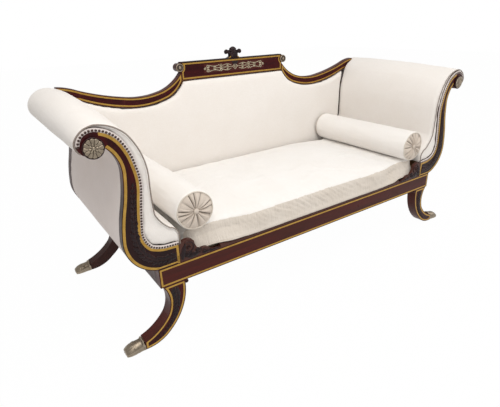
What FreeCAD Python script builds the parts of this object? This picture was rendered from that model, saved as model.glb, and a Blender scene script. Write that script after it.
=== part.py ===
"""A scroll-end Regency sofa with sabre legs, a loose squab and two bolsters.

The sofa stands on Z = 0 and faces -Y, with its length along X.
Sizes are in millimetres. Left means the -X end and right the +X end.
Outlines are drawn for the right end, and the left end is its mirror image.
"""
import FreeCAD, Part
import math
import os

from FreeCAD import Vector

os.makedirs("parts", exist_ok=True)

# Overall frame
frame_length = 1650.0
frame_depth = 760.0
rosette_rise = 13.0
front_y = -(frame_depth - rosette_rise) / 2
rail_end = frame_length / 2
fit_gap = 0.3

# Seat frame
rail_bottom = 243.0
rail_height = 82.0
rail_top = rail_bottom + rail_height
rail_thickness = 35.0
cross_rail_width = 40.0
cross_rail_height = 45.0
cross_rail_spacing = 520.0
corner_block_size = 70.0
corner_block_height = 55.0
web_thickness = 2.0
web_width = 55.0
long_web_count = 6
cross_web_count = 13
platform_thickness = 12.0
rail_cap_height = 15.0
strap_margin = 10.0

# Brass line inlay
inlay_margin = 4.0
inlay_width = 7.0
facing_line_margin = 3.0
facing_line_width = 9.5
inlay_depth = 1.5
inlay_rise = 0.3

# Sabre legs
leg_thickness = 50.0
leg_top_width = 90.0
leg_inset = 99.0
cap_start = 91.0
toe_reach = 165.0
toe_width = 56.0
toe_height = 17.0
ankle_height = 36.0
sole_rise = 1.5
sole_trim = 2.0
rear_toe_extra = 15.0
leg_volute_radius = 8.0
leg_volute_length = 34.0

# Arm facing, measured from the rail's end and top
facing_thickness = 28.0
rear_facing_thickness = 46.0
foot_reach = 91.0
foot_height = 86.0
belly_reach = 109.0
belly_height = 153.0
waist_reach = 72.5
waist_height = 379.0
scroll_reach = 145.0
scroll_height = 487.0
scroll_radius = 33.0
boss_radius = 32.0
boss_rise = 5.0
rosette_radius = 30.0
rosette_petals = 12

# Arm upholstery
arm_pad_thickness = 45.0
arm_front_setback = 4.0
roll_rise_front = 69.0
roll_rise_rear = 100.0
roll_reach_front = 53.0
roll_reach_rear = 65.0
roll_end_inset = 15.0
piping_radius = 2.5
joint_swell = 0.05
nail_radius = 4.3
nail_height = 2.6
nail_pitch = 10.4
nail_inset = 4.6
nail_lane = 9.6
arm_panel_thickness = 4.0
arm_base_rail_width = 70.0
strap_clearance = 2.0
belly_rail_radius = 15.0

# Carved bracket on the seat rail
bracket_length = 174.0
bracket_height = 84.0
bracket_thickness = 14.0

# Back
back_inset = 47.0
back_setback = frame_depth - back_inset
crest_thickness = 35.0
tablet_half = 320.0
tablet_bottom = 884.0
tablet_height = 85.0
tablet_top = tablet_bottom + tablet_height
crest_roll_radius = 20.0
crest_roll_rise = 4.0
marquetry_length = 380.0
marquetry_height = 44.0
marquetry_rise = 0.6
finial_half_width = 49.0
finial_height = 60.0
finial_thickness = 20.0
finial_volute_radius = 13.0
sweep_dip = 829.0
sweep_width = 46.0
sweep_reach = 90.0
sweep_end_height = 910.0
back_pad_sink = 9.0
back_pad_rear = back_setback + back_pad_sink
back_pad_edge = 16.0
back_pad_crown = 10.0
back_stile_width = 40.0
back_lower_rail_height = 40.0
back_board_thickness = 4.0

# Loose cushions
cushion_end_gap = 21.0
cushion_back_gap = 29.0
cushion_side_height = 96.0
cushion_crown = 48.0
cushion_bulge = 12.0
bolster_press = 4.0
bolster_radius = 78.0
bolster_inset = 83.0
bolster_clearance = 2.0
bolster_dome = 9.0
bolster_pleats = 18
pleat_radius = 2.4
button_radius = 9.0
button_thickness = 7.0
bolster_rim_radius = 3.0

web_top = rail_top + 2 * web_thickness
platform_top = web_top + platform_thickness
cushion_bottom = platform_top + fit_gap
cushion_seam = cushion_bottom + cushion_side_height
bolster_seat = cushion_seam - bolster_press
bolster_z = bolster_seat + fit_gap + bolster_radius
scroll_x = rail_end + scroll_reach
scroll_z = rail_top + scroll_height
crest_y = back_setback
crest_back = crest_y + crest_thickness
rear_facing_y = frame_depth - rear_facing_thickness
leg_inner = rail_end - leg_inset
leg_outer = leg_inner + leg_top_width
foot_end = rail_end - foot_reach
foot_top = rail_top + foot_height
sweep_end = rail_end + sweep_reach
roll_end_y = frame_depth - roll_end_inset
cushion_half = foot_end - cushion_end_gap
cushion_depth = back_setback - cushion_back_gap
bolster_centre_x = foot_end - bolster_inset
bolster_length = cushion_depth - bolster_clearance
platform_half = rail_end - arm_base_rail_width - fit_gap
lower_rail_top = web_top + strap_clearance + back_lower_rail_height


def export(name, shape):
    shape.translate(Vector(0, front_y, 0))
    shape.exportStep("parts/" + name + ".step")
    print(name, "solids", len(shape.Solids), "volume", round(shape.Volume / 1000.0, 1), "cm3")


def mirrored(shape):
    return shape.mirror(Vector(0, 0, 0), Vector(1, 0, 0))


def export_pair(name, shape):
    left = mirrored(shape)
    export("left_" + name, left)
    export("right_" + name, shape)


def box(x0, x1, y0, y1, z0, z1):
    return Part.makeBox(x1 - x0, y1 - y0, z1 - z0, Vector(x0, y0, z0))


def group(solids):
    return Part.makeCompound(solids)


def place(point, y):
    return Vector(point[0], y, point[1])


def outline(start, steps, y=0.0):
    """A closed wire in the XZ plane: one point is a line, two are an arc through the first."""
    edges = []
    here = start
    for step in steps:
        if len(step) == 1:
            edges.append(Part.makeLine(place(here, y), place(step[0], y)))
        else:
            edges.append(Part.Arc(place(here, y), place(step[0], y), place(step[1], y)).toShape())
        here = step[-1]
    if here != start:
        edges.append(Part.makeLine(place(here, y), place(start, y)))
    return Part.Wire(edges)


def open_path(start, steps, y=0.0):
    edges = []
    here = start
    for step in steps:
        if len(step) == 1:
            edges.append(Part.makeLine(place(here, y), place(step[0], y)))
        else:
            edges.append(Part.Arc(place(here, y), place(step[0], y), place(step[1], y)).toShape())
        here = step[-1]
    return edges


def board(wire, thickness):
    return Part.Face(wire).extrude(Vector(0, thickness, 0))


def moved(steps, dx, dz):
    return [[(x + dx, z + dz) for x, z in step] for step in steps]


def band(face, margin, width):
    outer = face.makeOffset2D(-margin)
    inner = face.makeOffset2D(-margin - width)
    return outer.cut(inner)


def on_circle(radius, degrees):
    angle = math.radians(degrees)
    return (scroll_x + radius * math.cos(angle), scroll_z + radius * math.sin(angle))


# Outlines shared by the arm pieces

foot_corner = (foot_end, rail_top)
foot_shoulder = (foot_end, foot_top)
belly = (rail_end + belly_reach, rail_top + belly_height)
waist = (rail_end + waist_reach, rail_top + waist_height)
head_left = on_circle(scroll_radius, 190)
head_under = on_circle(scroll_radius, -40)
head_side = on_circle(47.0, 13)
head_crown = on_circle(57.0, 94)
brow = (rail_end + 58.0, scroll_z + 10.0)
neck = (rail_end + 22.0, scroll_z - 78.0)
waist_inner = (rail_end + 18.0, rail_top + 299.0)
belly_inner = (rail_end + 32.0, rail_top + 180.0)
heel = (rail_end + 6.0, rail_top + 103.0)
instep = (rail_end - 49.0, foot_top + 2.0)


def between(a, b, along, across=0.0):
    """A point part of the way from a to b, moved to the left of that way by across."""
    dx = b[0] - a[0]
    dz = b[1] - a[1]
    length = math.hypot(dx, dz)
    return (a[0] + along * dx - across * dz / length, a[1] + along * dz + across * dx / length)


def beside(start, steps, across):
    """The same path moved to its left by across, as a new start and new steps."""
    points = [start]
    for step in steps:
        points += step
    shifted = []
    for index, point in enumerate(points):
        before = points[max(index - 1, 0)]
        after = points[min(index + 1, len(points) - 1)]
        dx = after[0] - before[0]
        dz = after[1] - before[1]
        length = math.hypot(dx, dz)
        shifted.append((point[0] - across * dz / length, point[1] + across * dx / length))
    moved_steps = []
    first = 1
    for step in steps:
        moved_steps.append(shifted[first:first + len(step)])
        first += len(step)
    return shifted[0], moved_steps


def inner_edge():
    """From the scroll's outer side over its top and down to the foot, where the cloth meets the wood."""
    return [
        [on_circle(53.0, 55), head_crown],
        [on_circle(65.0, 136), brow],
        [between(brow, neck, 0.6, -5.0), neck],
        [between(neck, waist_inner, 0.46, -6.5), waist_inner],
        [between(waist_inner, belly_inner, 0.5, 1.0), belly_inner],
        [between(belly_inner, heel, 0.5, 10.0), heel],
        [between(heel, instep, 0.4, 3.0), instep],
        [foot_shoulder],
    ]


def outer_edge():
    """From the rail's end up to the underside of the scroll."""
    middle = between(belly, waist, 0.5)
    return [
        [between((rail_end, rail_top), belly, 0.52, -35.0), belly],
        [between(belly, middle, 0.5, -2.7), middle],
        [between(middle, waist, 0.5, 2.7), waist],
        [between(waist, head_left, 0.5, 13.5), head_left],
    ]


pad_foot = (foot_end - 8.0, foot_top - 8.0)
pad_instep = (foot_end + 25.0, foot_top + 70.0)
pad_belly = (belly_inner[0] - 49.0, belly_inner[1] + 41.0)
pad_waist = (waist_inner[0] - 33.0, waist_inner[1] + 62.0)
pad_tip = on_circle(scroll_radius + fit_gap, -40)


def pad_line(rise, reach):
    """The sitter's side of the arm pad, from its foot up and over the roll to the scroll's underside."""
    fullness = (rise - roll_rise_front) / (roll_rise_rear - roll_rise_front)
    shoulder = (scroll_x - 108.0 - 8.0 * fullness, scroll_z + rise - 44.0)
    crown = (scroll_x - 15.0, scroll_z + rise)
    side = (scroll_x + reach, scroll_z + 24.0 + 16.0 * fullness)
    return [
        [(pad_foot[0], pad_foot[1] + 30.0)],
        [(pad_foot[0] + 6.0, pad_foot[1] + 58.0), pad_instep],
        [between(pad_instep, pad_belly, 0.5, -5.0), pad_belly],
        [between(pad_belly, pad_waist, 0.5, -1.5), pad_waist],
        [between(pad_waist, shoulder, 0.5, 13.0), shoulder],
        [between(shoulder, crown, 0.5, 10.0), crown],
        [between(crown, side, 0.55, 12.0 + 4.0 * fullness), side],
        [(side[0] - 4.0 - 4.0 * fullness, scroll_z - 4.0), pad_tip],
    ]


def facing_outline(y=0.0):
    """The S board with its round head."""
    steps = inner_edge()
    steps += [[foot_corner], [(rail_end, rail_top)]]
    steps += outer_edge()
    steps += [[on_circle(scroll_radius, 255), head_under]]
    steps += [[on_circle(41.0, -14), head_side]]
    return outline(head_side, steps, y)


def arm_facing(thickness, y, boss):
    solid = board(facing_outline(y), thickness)
    if boss:
        centre = Vector(scroll_x, y - boss_rise, scroll_z)
        ring = Part.makeCylinder(boss_radius, boss_rise, centre, Vector(0, 1, 0))
        ring = ring.makeChamfer(1.2, [ring.Edges[0]])
        solid = solid.fuse(ring).removeSplitter()
    return solid


def ribbon(start, steps, near, far, y):
    """A flat strip beside a path, between two distances to its left."""
    near_start, near_steps = beside(start, steps, near)
    far_start, far_steps = beside(start, steps, far)
    back = turned(far_start, far_steps)
    return Part.Face(outline(near_start, near_steps + [[far_steps[-1][-1]]] + back, y))


def facing_inlay():
    """Brass lines along both edges of the facing, let into its front and stopped at the roundel."""
    depth = Vector(0, inlay_depth + inlay_rise, 0)
    far = nail_lane + facing_line_width
    inner = ribbon(head_crown, inner_edge()[1:], nail_lane, far, -inlay_rise).extrude(depth)
    outer = ribbon((rail_end, rail_top), outer_edge(), facing_line_margin,
                   facing_line_margin + facing_line_width, -inlay_rise).extrude(depth)
    foot = box(foot_end + facing_line_margin, foot_end + facing_line_margin + facing_line_width,
               -inlay_rise, inlay_depth, rail_top, foot_top - nail_lane - 1.0)
    head_room = box(foot_end, scroll_x - 22.0, -inlay_rise, inlay_depth, rail_top, 2 * scroll_z)
    inner = inner.common(head_room).cut(box(foot_end, foot_end + facing_line_margin, -9, 9,
                                            rail_top, scroll_z))
    boss = Part.makeCylinder(boss_radius + fit_gap, inlay_depth + 2 * inlay_rise,
                             Vector(scroll_x, -inlay_rise, scroll_z), Vector(0, 1, 0))
    return group(inner.fuse(foot).cut(boss).Solids + outer.cut(boss).Solids)


def rosette():
    """A domed flower of petals round a button, on the roundel's ring."""
    face_y = -boss_rise
    base_depth = 2.5
    petal_radius = math.pi * rosette_radius / rosette_petals * 0.98
    reach = rosette_radius - petal_radius
    axis = Vector(0, 1, 0)
    centre = Vector(scroll_x, face_y - base_depth, scroll_z)
    solid = Part.makeCylinder(reach, base_depth, centre, axis)
    for index in range(rosette_petals):
        angle = 2 * math.pi * index / rosette_petals
        tip = Vector(scroll_x + reach * math.cos(angle), face_y, scroll_z + reach * math.sin(angle))
        petal = Part.makeSphere(petal_radius, tip, axis, -90, 90, 360)
        solid = solid.fuse(petal)
    dome_rise = rosette_rise - boss_rise
    dome_radius = rosette_radius * 0.62
    ball_radius = (dome_radius ** 2 + dome_rise ** 2) / (2 * dome_rise)
    ball = Part.makeSphere(ball_radius, Vector(scroll_x, face_y - dome_rise + ball_radius, scroll_z))
    front = box(scroll_x - 50, scroll_x + 50, face_y - rosette_rise, face_y, scroll_z - 50, scroll_z + 50)
    return solid.fuse(ball).common(front).removeSplitter()


def arm_pad():
    """The stuffed arm: one lofted roll from front to back, notched where the back meets it."""
    inner_start, inner = beside(head_side, inner_edge(), -fit_gap)
    inner[-1] = [(foot_end - fit_gap, foot_top + fit_gap)]
    inner.append([(foot_end - fit_gap, pad_foot[1])])
    inner = [[on_circle(41.0 + fit_gap, -14), inner_start]] + inner
    stations = [
        (arm_front_setback, roll_rise_front, roll_reach_front),
        (0.33 * back_setback, 0.45 * roll_rise_front + 0.55 * roll_rise_rear,
         0.45 * roll_reach_front + 0.55 * roll_reach_rear),
        (roll_end_y, roll_rise_rear, roll_reach_rear),
    ]
    sections = []
    for y, rise, reach in stations:
        sections.append(outline(pad_foot, pad_line(rise, reach) + inner, y))
    pad = Part.makeLoft(sections, True, False)
    notch = box(foot_end - 60, sweep_end + fit_gap, back_setback - fit_gap, frame_depth, rail_top, tablet_top)
    return pad.cut(notch)


def bead(edges, radius):
    """A round bead along a chain of edges, with a ball at each joint to fill its slight angle."""
    tubes = []
    for edge in edges:
        start = edge.valueAt(edge.FirstParameter)
        ring = Part.makeCircle(radius, start, edge.tangentAt(edge.FirstParameter))
        tubes.append(Part.Wire([edge]).makePipeShell([Part.Wire([ring])], True, True))
        tubes.append(Part.makeSphere(radius + joint_swell, start))
    return tubes[0].fuse(tubes[2:])


def arm_piping():
    start, steps = beside(pad_foot, pad_line(roll_rise_front, roll_reach_front), -piping_radius)
    steps[-1] = [steps[-1][0], on_circle(scroll_radius + piping_radius + 8 * fit_gap, -37)]
    y = arm_front_setback - piping_radius - fit_gap
    return bead(open_path(start, steps, y), piping_radius)


def arm_nails():
    """Domed nails in one close row along the cloth's edge on the facing."""
    start, steps = beside(head_side, inner_edge(), nail_inset)
    steps[-1] = [(foot_end + nail_inset, foot_top - nail_inset)]
    path = Part.Wire(open_path(start, steps))
    ball_radius = (nail_radius ** 2 + nail_height ** 2) / (2 * nail_height)
    nails = []
    for spot in path.discretize(Distance=nail_pitch):
        ball = Part.makeSphere(ball_radius, Vector(spot.x, ball_radius - nail_height, spot.z))
        front = box(spot.x - 9, spot.x + 9, -9, 0, spot.z - 9, spot.z + 9)
        nails.append(ball.common(front))
    return group(nails)


def arm_rails():
    """Inside the arm: the scroll rail, the belly rail and the base rail between the two facings."""
    length = rear_facing_y - facing_thickness
    axis = Vector(0, 1, 0)
    head = Part.Face(facing_outline(facing_thickness)).extrude(Vector(0, length, 0))
    scroll = head.common(box(brow[0], scroll_x + roll_reach_front, facing_thickness, rear_facing_y,
                             scroll_z - scroll_radius - 1.0, tablet_top)).cut(arm_outside_panel())
    belly_x = (belly[0] + belly_inner[0]) / 2
    middle = Part.makeCylinder(belly_rail_radius, length, Vector(belly_x, facing_thickness, belly[1]), axis)
    waist_x = (waist[0] + waist_inner[0]) / 2
    upper = Part.makeCylinder(0.8 * belly_rail_radius, length,
                              Vector(waist_x, facing_thickness, waist[1]), axis)
    base = box(rail_end - arm_base_rail_width, rail_end - belly_rail_radius, facing_thickness,
               rear_facing_y, web_top + strap_clearance, foot_top)
    return group([scroll, middle, upper, base])


def arm_outside_panel():
    """The covered panel that closes the outside of the arm, from the rail to the scroll."""
    outer = outer_edge()
    outer[-1] = [outer[-1][0], on_circle(scroll_radius + fit_gap, 191)]
    rise = 0.75 * arm_panel_thickness
    start = (rail_end, rail_top)
    inner_start = (rail_end - 0.5 * arm_panel_thickness, rail_top + rise)
    inner = turned(inner_start, moved(outer, -arm_panel_thickness, rise))
    steps = outer + [[(outer[-1][-1][0] - arm_panel_thickness, outer[-1][-1][1] + rise)]] + inner
    return board(outline(start, steps, facing_thickness), rear_facing_y - facing_thickness)


# Seat frame

def front_rail():
    rail = box(-rail_end, rail_end, 0, rail_thickness, rail_bottom, rail_top)
    return rail.cut(front_rail_inlay())


def front_rail_inlay():
    corners = [(rail_end, rail_bottom), (rail_end, rail_top), (-rail_end, rail_top)]
    face = Part.Face(outline((-rail_end, rail_bottom), [[corner] for corner in corners], -inlay_rise))
    return band(face, inlay_margin, inlay_width).extrude(Vector(0, inlay_depth + inlay_rise, 0))


def rail_cap():
    """The moulded strip on top of the front rail, between the carved brackets."""
    half = foot_end - bracket_length - 2 * fit_gap
    strip = box(-half, half, 0, facing_thickness, rail_top, rail_top + rail_cap_height)
    upper_front = [edge for edge in strip.Edges
                   if edge.BoundBox.YMax < 1 and edge.BoundBox.ZMin > rail_top + rail_cap_height - 1]
    return strip.makeFillet(0.4 * rail_cap_height, upper_front)


def end_rail():
    return box(rail_end - rail_thickness, rail_end, rail_thickness, frame_depth - rail_thickness,
               rail_bottom, rail_top)


def cross_rails():
    rails = []
    for side in (-1, 0, 1):
        x = side * cross_rail_spacing
        rails.append(box(x - cross_rail_width / 2, x + cross_rail_width / 2,
                         rail_thickness, frame_depth - rail_thickness,
                         rail_bottom, rail_bottom + cross_rail_height))
    return group(rails)


def corner_blocks():
    """Triangular glue blocks inside the four corners of the seat frame."""
    blocks = []
    inside = rail_end - rail_thickness
    for side in (-1, 1):
        for y, inward in ((rail_thickness, 1), (frame_depth - rail_thickness, -1)):
            corner = Vector(side * inside, y, rail_bottom)
            along_x = corner + Vector(-side * corner_block_size, 0, 0)
            along_y = corner + Vector(0, inward * corner_block_size, 0)
            face = Part.Face(Part.makePolygon([corner, along_x, along_y, corner]))
            blocks.append(face.extrude(Vector(0, 0, corner_block_height)))
    return group(blocks)


def webbing():
    """Straps tacked over the rails: the long ones first, the short ones across them."""
    long_half = rail_end - strap_margin
    long_straps = []
    pitch = (frame_depth - 2 * rail_thickness) / long_web_count
    for index in range(long_web_count):
        y = rail_thickness + pitch * (index + 0.5)
        long_straps.append(box(-long_half, long_half, y - web_width / 2, y + web_width / 2,
                               rail_top, rail_top + web_thickness))
    short_straps = []
    pitch = 2 * platform_half / cross_web_count
    for index in range(cross_web_count):
        x = -platform_half + pitch * (index + 0.5)
        short_straps.append(box(x - web_width / 2, x + web_width / 2, facing_thickness + fit_gap,
                                crest_back - fit_gap, rail_top + web_thickness, web_top))
    return group(long_straps), group(short_straps)


def seat_platform():
    return box(-platform_half, platform_half, facing_thickness + fit_gap, rear_facing_y - fit_gap,
               web_top, platform_top)


def rail_bracket():
    """A carved leaf bracket that fills the corner between the arm's foot and the rail."""
    right = foot_end - fit_gap
    left = right - bracket_length
    top = rail_top + bracket_height
    ledge = pad_foot[1] - fit_gap
    inward = pad_foot[0] - fit_gap
    steps = [
        [(right, ledge)],
        [(inward, ledge)],
        [(inward, top - 4.0)],
        [(right - 0.16 * bracket_length, top + 3.0), (right - 0.35 * bracket_length, top - 12.0)],
        [(right - 0.38 * bracket_length, top - 34.0), (right - 0.50 * bracket_length, top - 57.0)],
        [(right - 0.62 * bracket_length, top - 56.0), (right - 0.74 * bracket_length, top - 69.0)],
        [(right - 0.86 * bracket_length, top - 78.0), (left, rail_top + 0.05 * bracket_height)],
        [(left, rail_top)],
    ]
    return board(outline((right, rail_top), steps), bracket_thickness)


# Legs and paw caps

def leg_outline(y, extra):
    """The sabre curve, swept further out towards the floor by extra."""
    cap_x = rail_end + cap_start + extra
    knee = (rail_end - 28.0, 0.64 * rail_bottom)
    calf = (rail_end - 19.0 + 0.8 * extra, 0.17 * rail_bottom)
    steps = [
        [(leg_inner + 17.0, 0.54 * rail_bottom), calf],
        [(rail_end + 32.0 + extra, 0.037 * rail_bottom), (cap_x, sole_rise)],
        [(cap_x, ankle_height)],
        [(rail_end + 39.0 + 0.9 * extra, 0.25 * rail_bottom),
         (rail_end - 13.0 + 0.3 * extra, 0.46 * rail_bottom)],
        [knee, (leg_outer, rail_bottom)],
    ]
    return outline((leg_inner, rail_bottom), steps, y)


def leg(y, extra):
    solid = board(leg_outline(y, extra), leg_thickness)
    volute_x = leg_inner - leg_volute_radius * 0.8
    volute = Part.makeCylinder(leg_volute_radius, leg_volute_length,
                               Vector(volute_x, y, rail_bottom - leg_volute_radius), Vector(0, 1, 0))
    return solid.fuse(volute).removeSplitter()


def leg_inlay():
    face = Part.Face(leg_outline(-inlay_rise, 0.0))
    return band(face, inlay_margin, inlay_width).extrude(Vector(0, inlay_depth + inlay_rise, 0))


def paw_section(x, y_mid, width, height):
    """A D-shaped section of the cap with a round top, drawn a little below the floor."""
    y0 = y_mid - width / 2
    y1 = y_mid + width / 2
    low = 0.45 * height
    foot = Part.makeLine(Vector(x, y1, -sole_trim), Vector(x, y0, -sole_trim))
    side = Part.makeLine(Vector(x, y0, -sole_trim), Vector(x, y0, low))
    top = Part.Arc(Vector(x, y0, low), Vector(x, y_mid, height), Vector(x, y1, low)).toShape()
    other = Part.makeLine(Vector(x, y1, low), Vector(x, y1, -sole_trim))
    return Part.Wire([foot, side, top, other])


def paw_cap(y, extra):
    """A lion's paw shoe: a cuff, a swelling foot and toes parted by grooves."""
    y_mid = y + leg_thickness / 2
    start = rail_end + cap_start + extra
    toe = rail_end + toe_reach + extra
    length = toe - start
    sections = [
        paw_section(start + 0.05, y_mid, leg_thickness + 2.0, ankle_height + 6.0),
        paw_section(start + 0.35 * length, y_mid, leg_thickness + 2.0, ankle_height + 1.0),
        paw_section(start + 0.72 * length, y_mid, toe_width, ankle_height - 4.0),
        paw_section(toe, y_mid, toe_width - 12.0, toe_height),
    ]
    paw = Part.makeLoft(sections, True, False)
    paw = paw.common(box(start, toe, y_mid - toe_width, y_mid + toe_width, 0, 2 * ankle_height))
    for step in (-1, 0, 1):
        groove_y = y_mid + step * toe_width / 4
        groove = Part.makeCylinder(1.8, length, Vector(start + 0.55 * length, groove_y, ankle_height - 1.0),
                                   Vector(math.cos(0.45), 0, -math.sin(0.45)))
        paw = paw.cut(groove)
    return paw


# Back

def sweep_point(part, height):
    return (tablet_half + part * (sweep_end - tablet_half), height)


def sweep_top():
    """The swept rail's upper edge, from under the tablet's roll down, along and up to the arm."""
    rise = sweep_end_height - sweep_dip
    return [
        [sweep_point(0.07, sweep_dip + 0.66 * rise), sweep_point(0.185, sweep_dip + 0.20 * rise)],
        [sweep_point(0.33, sweep_dip), sweep_point(0.51, sweep_dip + 0.07 * rise)],
        [sweep_point(0.68, sweep_dip + 0.33 * rise), sweep_point(0.84, sweep_dip + 0.69 * rise)],
        [sweep_point(0.92, sweep_dip + 0.90 * rise), sweep_point(1.0, sweep_end_height)],
    ]


def sweep_bottom():
    """The lower edge, from the arm back up to the tablet's lower corner."""
    low = sweep_dip - sweep_width
    rise = sweep_end_height - sweep_dip
    return [
        [sweep_point(0.92, low + 0.88 * rise), sweep_point(0.85, low + 0.76 * rise)],
        [sweep_point(0.70, low + 0.36 * rise), sweep_point(0.52, low + 0.07 * rise)],
        [sweep_point(0.33, low), sweep_point(0.16, low + 0.26 * rise)],
        [sweep_point(0.05, low + 0.75 * rise), (tablet_half, tablet_bottom)],
    ]


roll_centre = (tablet_half + 9.0, tablet_top - crest_roll_radius - 3.0)
sweep_start = (tablet_half, roll_centre[1] - crest_roll_radius - 1.0)


def sweep_outline(y):
    top = sweep_top()
    tip = (sweep_end, sweep_end_height - 0.9 * sweep_width)
    return outline((tablet_half, tablet_bottom), [[sweep_start]] + top + [[tip]] + sweep_bottom(), y)


def roll_seats():
    """The room that the two crest rolls need in the pieces beside them."""
    seat = Part.makeCylinder(crest_roll_radius + fit_gap, 2 * crest_thickness,
                             Vector(roll_centre[0], crest_y - crest_thickness / 2, roll_centre[1]),
                             Vector(0, 1, 0))
    return group([seat, mirrored(seat)])


def swept_rail():
    return board(sweep_outline(crest_y), crest_thickness).cut(roll_seats())


def sweep_inlay():
    face = Part.Face(sweep_outline(crest_y - inlay_rise))
    return band(face, inlay_margin, inlay_width).extrude(Vector(0, inlay_depth + inlay_rise, 0))


def tablet():
    block = box(-tablet_half, tablet_half, crest_y, crest_back, tablet_bottom, tablet_top)
    return block.cut(roll_seats())


def tablet_inlay():
    face = tablet().common(box(-tablet_half, tablet_half, crest_y, crest_y + 1.0, tablet_bottom, tablet_top))
    front = [side for side in face.Faces if side.BoundBox.YMax < crest_y + 0.1][0]
    lines = band(front, inlay_margin, inlay_width)
    return lines.extrude(Vector(0, inlay_depth + inlay_rise, 0)).translated(Vector(0, -inlay_rise, 0))


def marquetry():
    middle = tablet_bottom + 0.53 * tablet_height
    return box(-marquetry_length / 2, marquetry_length / 2, crest_y - marquetry_rise, crest_y + inlay_depth,
               middle - marquetry_height / 2, middle + marquetry_height / 2)


def crest_roll():
    """A small turned roll at the tablet's end, with a boss on its face."""
    axis = Vector(0, 1, 0)
    y = crest_y - crest_roll_rise
    roll = Part.makeCylinder(crest_roll_radius, crest_roll_rise + crest_thickness,
                             Vector(roll_centre[0], y, roll_centre[1]), axis)
    boss = Part.makeCone(0.35 * crest_roll_radius, 0.6 * crest_roll_radius, 3.0,
                         Vector(roll_centre[0], y - 3.0, roll_centre[1]), axis)
    return roll.fuse(boss)


def finial():
    """A carved palmette with a volute at each side."""
    base = tablet_top
    top = base + finial_height
    half = finial_half_width
    y = crest_y + (crest_thickness - finial_thickness) / 2
    right = [
        [(half, base + 6.0)],
        [(0.62 * half, base + 9.0), (0.40 * half, base + 20.0)],
        [(0.34 * half, base + 34.0), (0.26 * half, base + 42.0)],
        [(0.36 * half, base + 52.0), (0.0, top)],
    ]
    left = [
        [(-0.36 * half, base + 52.0), (-0.26 * half, base + 42.0)],
        [(-0.34 * half, base + 34.0), (-0.40 * half, base + 20.0)],
        [(-0.62 * half, base + 9.0), (-half, base + 6.0)],
        [(-half, base)],
    ]
    solid = board(outline((half, base), right + left, y), finial_thickness)
    for side in (-1, 1):
        x = side * (half - finial_volute_radius)
        volute = Part.makeCylinder(finial_volute_radius, finial_thickness + 4.0,
                                   Vector(x, y - 2.0, base + 0.52 * finial_height), Vector(0, 1, 0))
        stalk = box(min(0, x), max(0, x), y + 2.0, y + finial_thickness - 2.0,
                    base + 0.40 * finial_height, base + 0.58 * finial_height)
        solid = solid.fuse(volute).fuse(stalk)
    return solid.removeSplitter()


def turned(start, steps):
    """The same path walked the other way, from its end back to its start."""
    ends = [start] + [step[-1] for step in steps]
    back = []
    for index in range(len(steps) - 1, -1, -1):
        back.append(list(steps[index][:-1]) + [ends[index]])
    return back


def flipped(steps):
    return [[(-x, z) for x, z in step] for step in steps]


def symmetric_outline(start, right, y):
    """A closed wire from a path that starts and ends on the middle plane."""
    return outline(start, right + flipped(turned(start, right)), y)


def bowed_block(half, middle, front, across_length):
    """A block whose front bows out by the pad's crown, along the length or up the height."""
    if across_length:
        ends = [Vector(-half, front + back_pad_crown, 0), Vector(0, front, 0),
                Vector(half, front + back_pad_crown, 0)]
        rear = [Vector(half, back_pad_rear, 0), Vector(-half, back_pad_rear, 0)]
        sweep = Vector(0, 0, tablet_top)
    else:
        x = -rail_end
        ends = [Vector(x, front + back_pad_crown, middle - half), Vector(x, front, middle),
                Vector(x, front + back_pad_crown, middle + half)]
        rear = [Vector(x, back_pad_rear, middle + half), Vector(x, back_pad_rear, middle - half)]
        sweep = Vector(frame_length, 0, 0)
    edges = [Part.Arc(*ends).toShape(), Part.makeLine(ends[2], rear[0]),
             Part.makeLine(rear[0], rear[1]), Part.makeLine(rear[1], ends[0])]
    return Part.Face(Part.Wire(edges)).extrude(sweep)


def back_pad():
    """The stuffed inside back: full in the middle, drawn in at its edges."""
    front = crest_y - back_pad_edge - back_pad_crown
    gap = 3.0
    low = platform_top + fit_gap
    line = moved(pad_line(roll_rise_rear, roll_reach_rear), -gap, 0.0)
    foot_x = pad_foot[0] - gap
    arm_end = sweep_bottom()[0][-1]
    shoulder = (arm_end[0], arm_end[1] - 2.0)
    under = moved(sweep_bottom()[1:], 0.0, -fit_gap)
    right = [[(foot_x, low)]] + line[:4]
    right += [[between(line[3][-1], shoulder, 0.5, 4.0), shoulder]]
    right += [[(arm_end[0], arm_end[1] - fit_gap)]] + under
    right += [[(0.0, tablet_bottom - fit_gap)]]
    pad = board(symmetric_outline((0.0, low), right, front), back_pad_rear - front)
    half_height = (tablet_bottom - low) / 2
    pad = pad.common(bowed_block(half_height + fit_gap, low + half_height, front, False))
    return pad.common(bowed_block(rail_end + arm_pad_thickness, 0.0, front, True))


def back_stiles():
    """Two uprights from the lower back rail to the tablet."""
    stiles = []
    for side in (-1, 1):
        middle = side * (tablet_half - back_stile_width / 2)
        stiles.append(box(middle - back_stile_width / 2, middle + back_stile_width / 2,
                          back_pad_rear + fit_gap, crest_back,
                          lower_rail_top, tablet_bottom))
    return group(stiles)


def back_lower_rail():
    return box(-foot_end, foot_end, frame_depth - rail_thickness, crest_back,
               web_top + strap_clearance, lower_rail_top)


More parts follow.
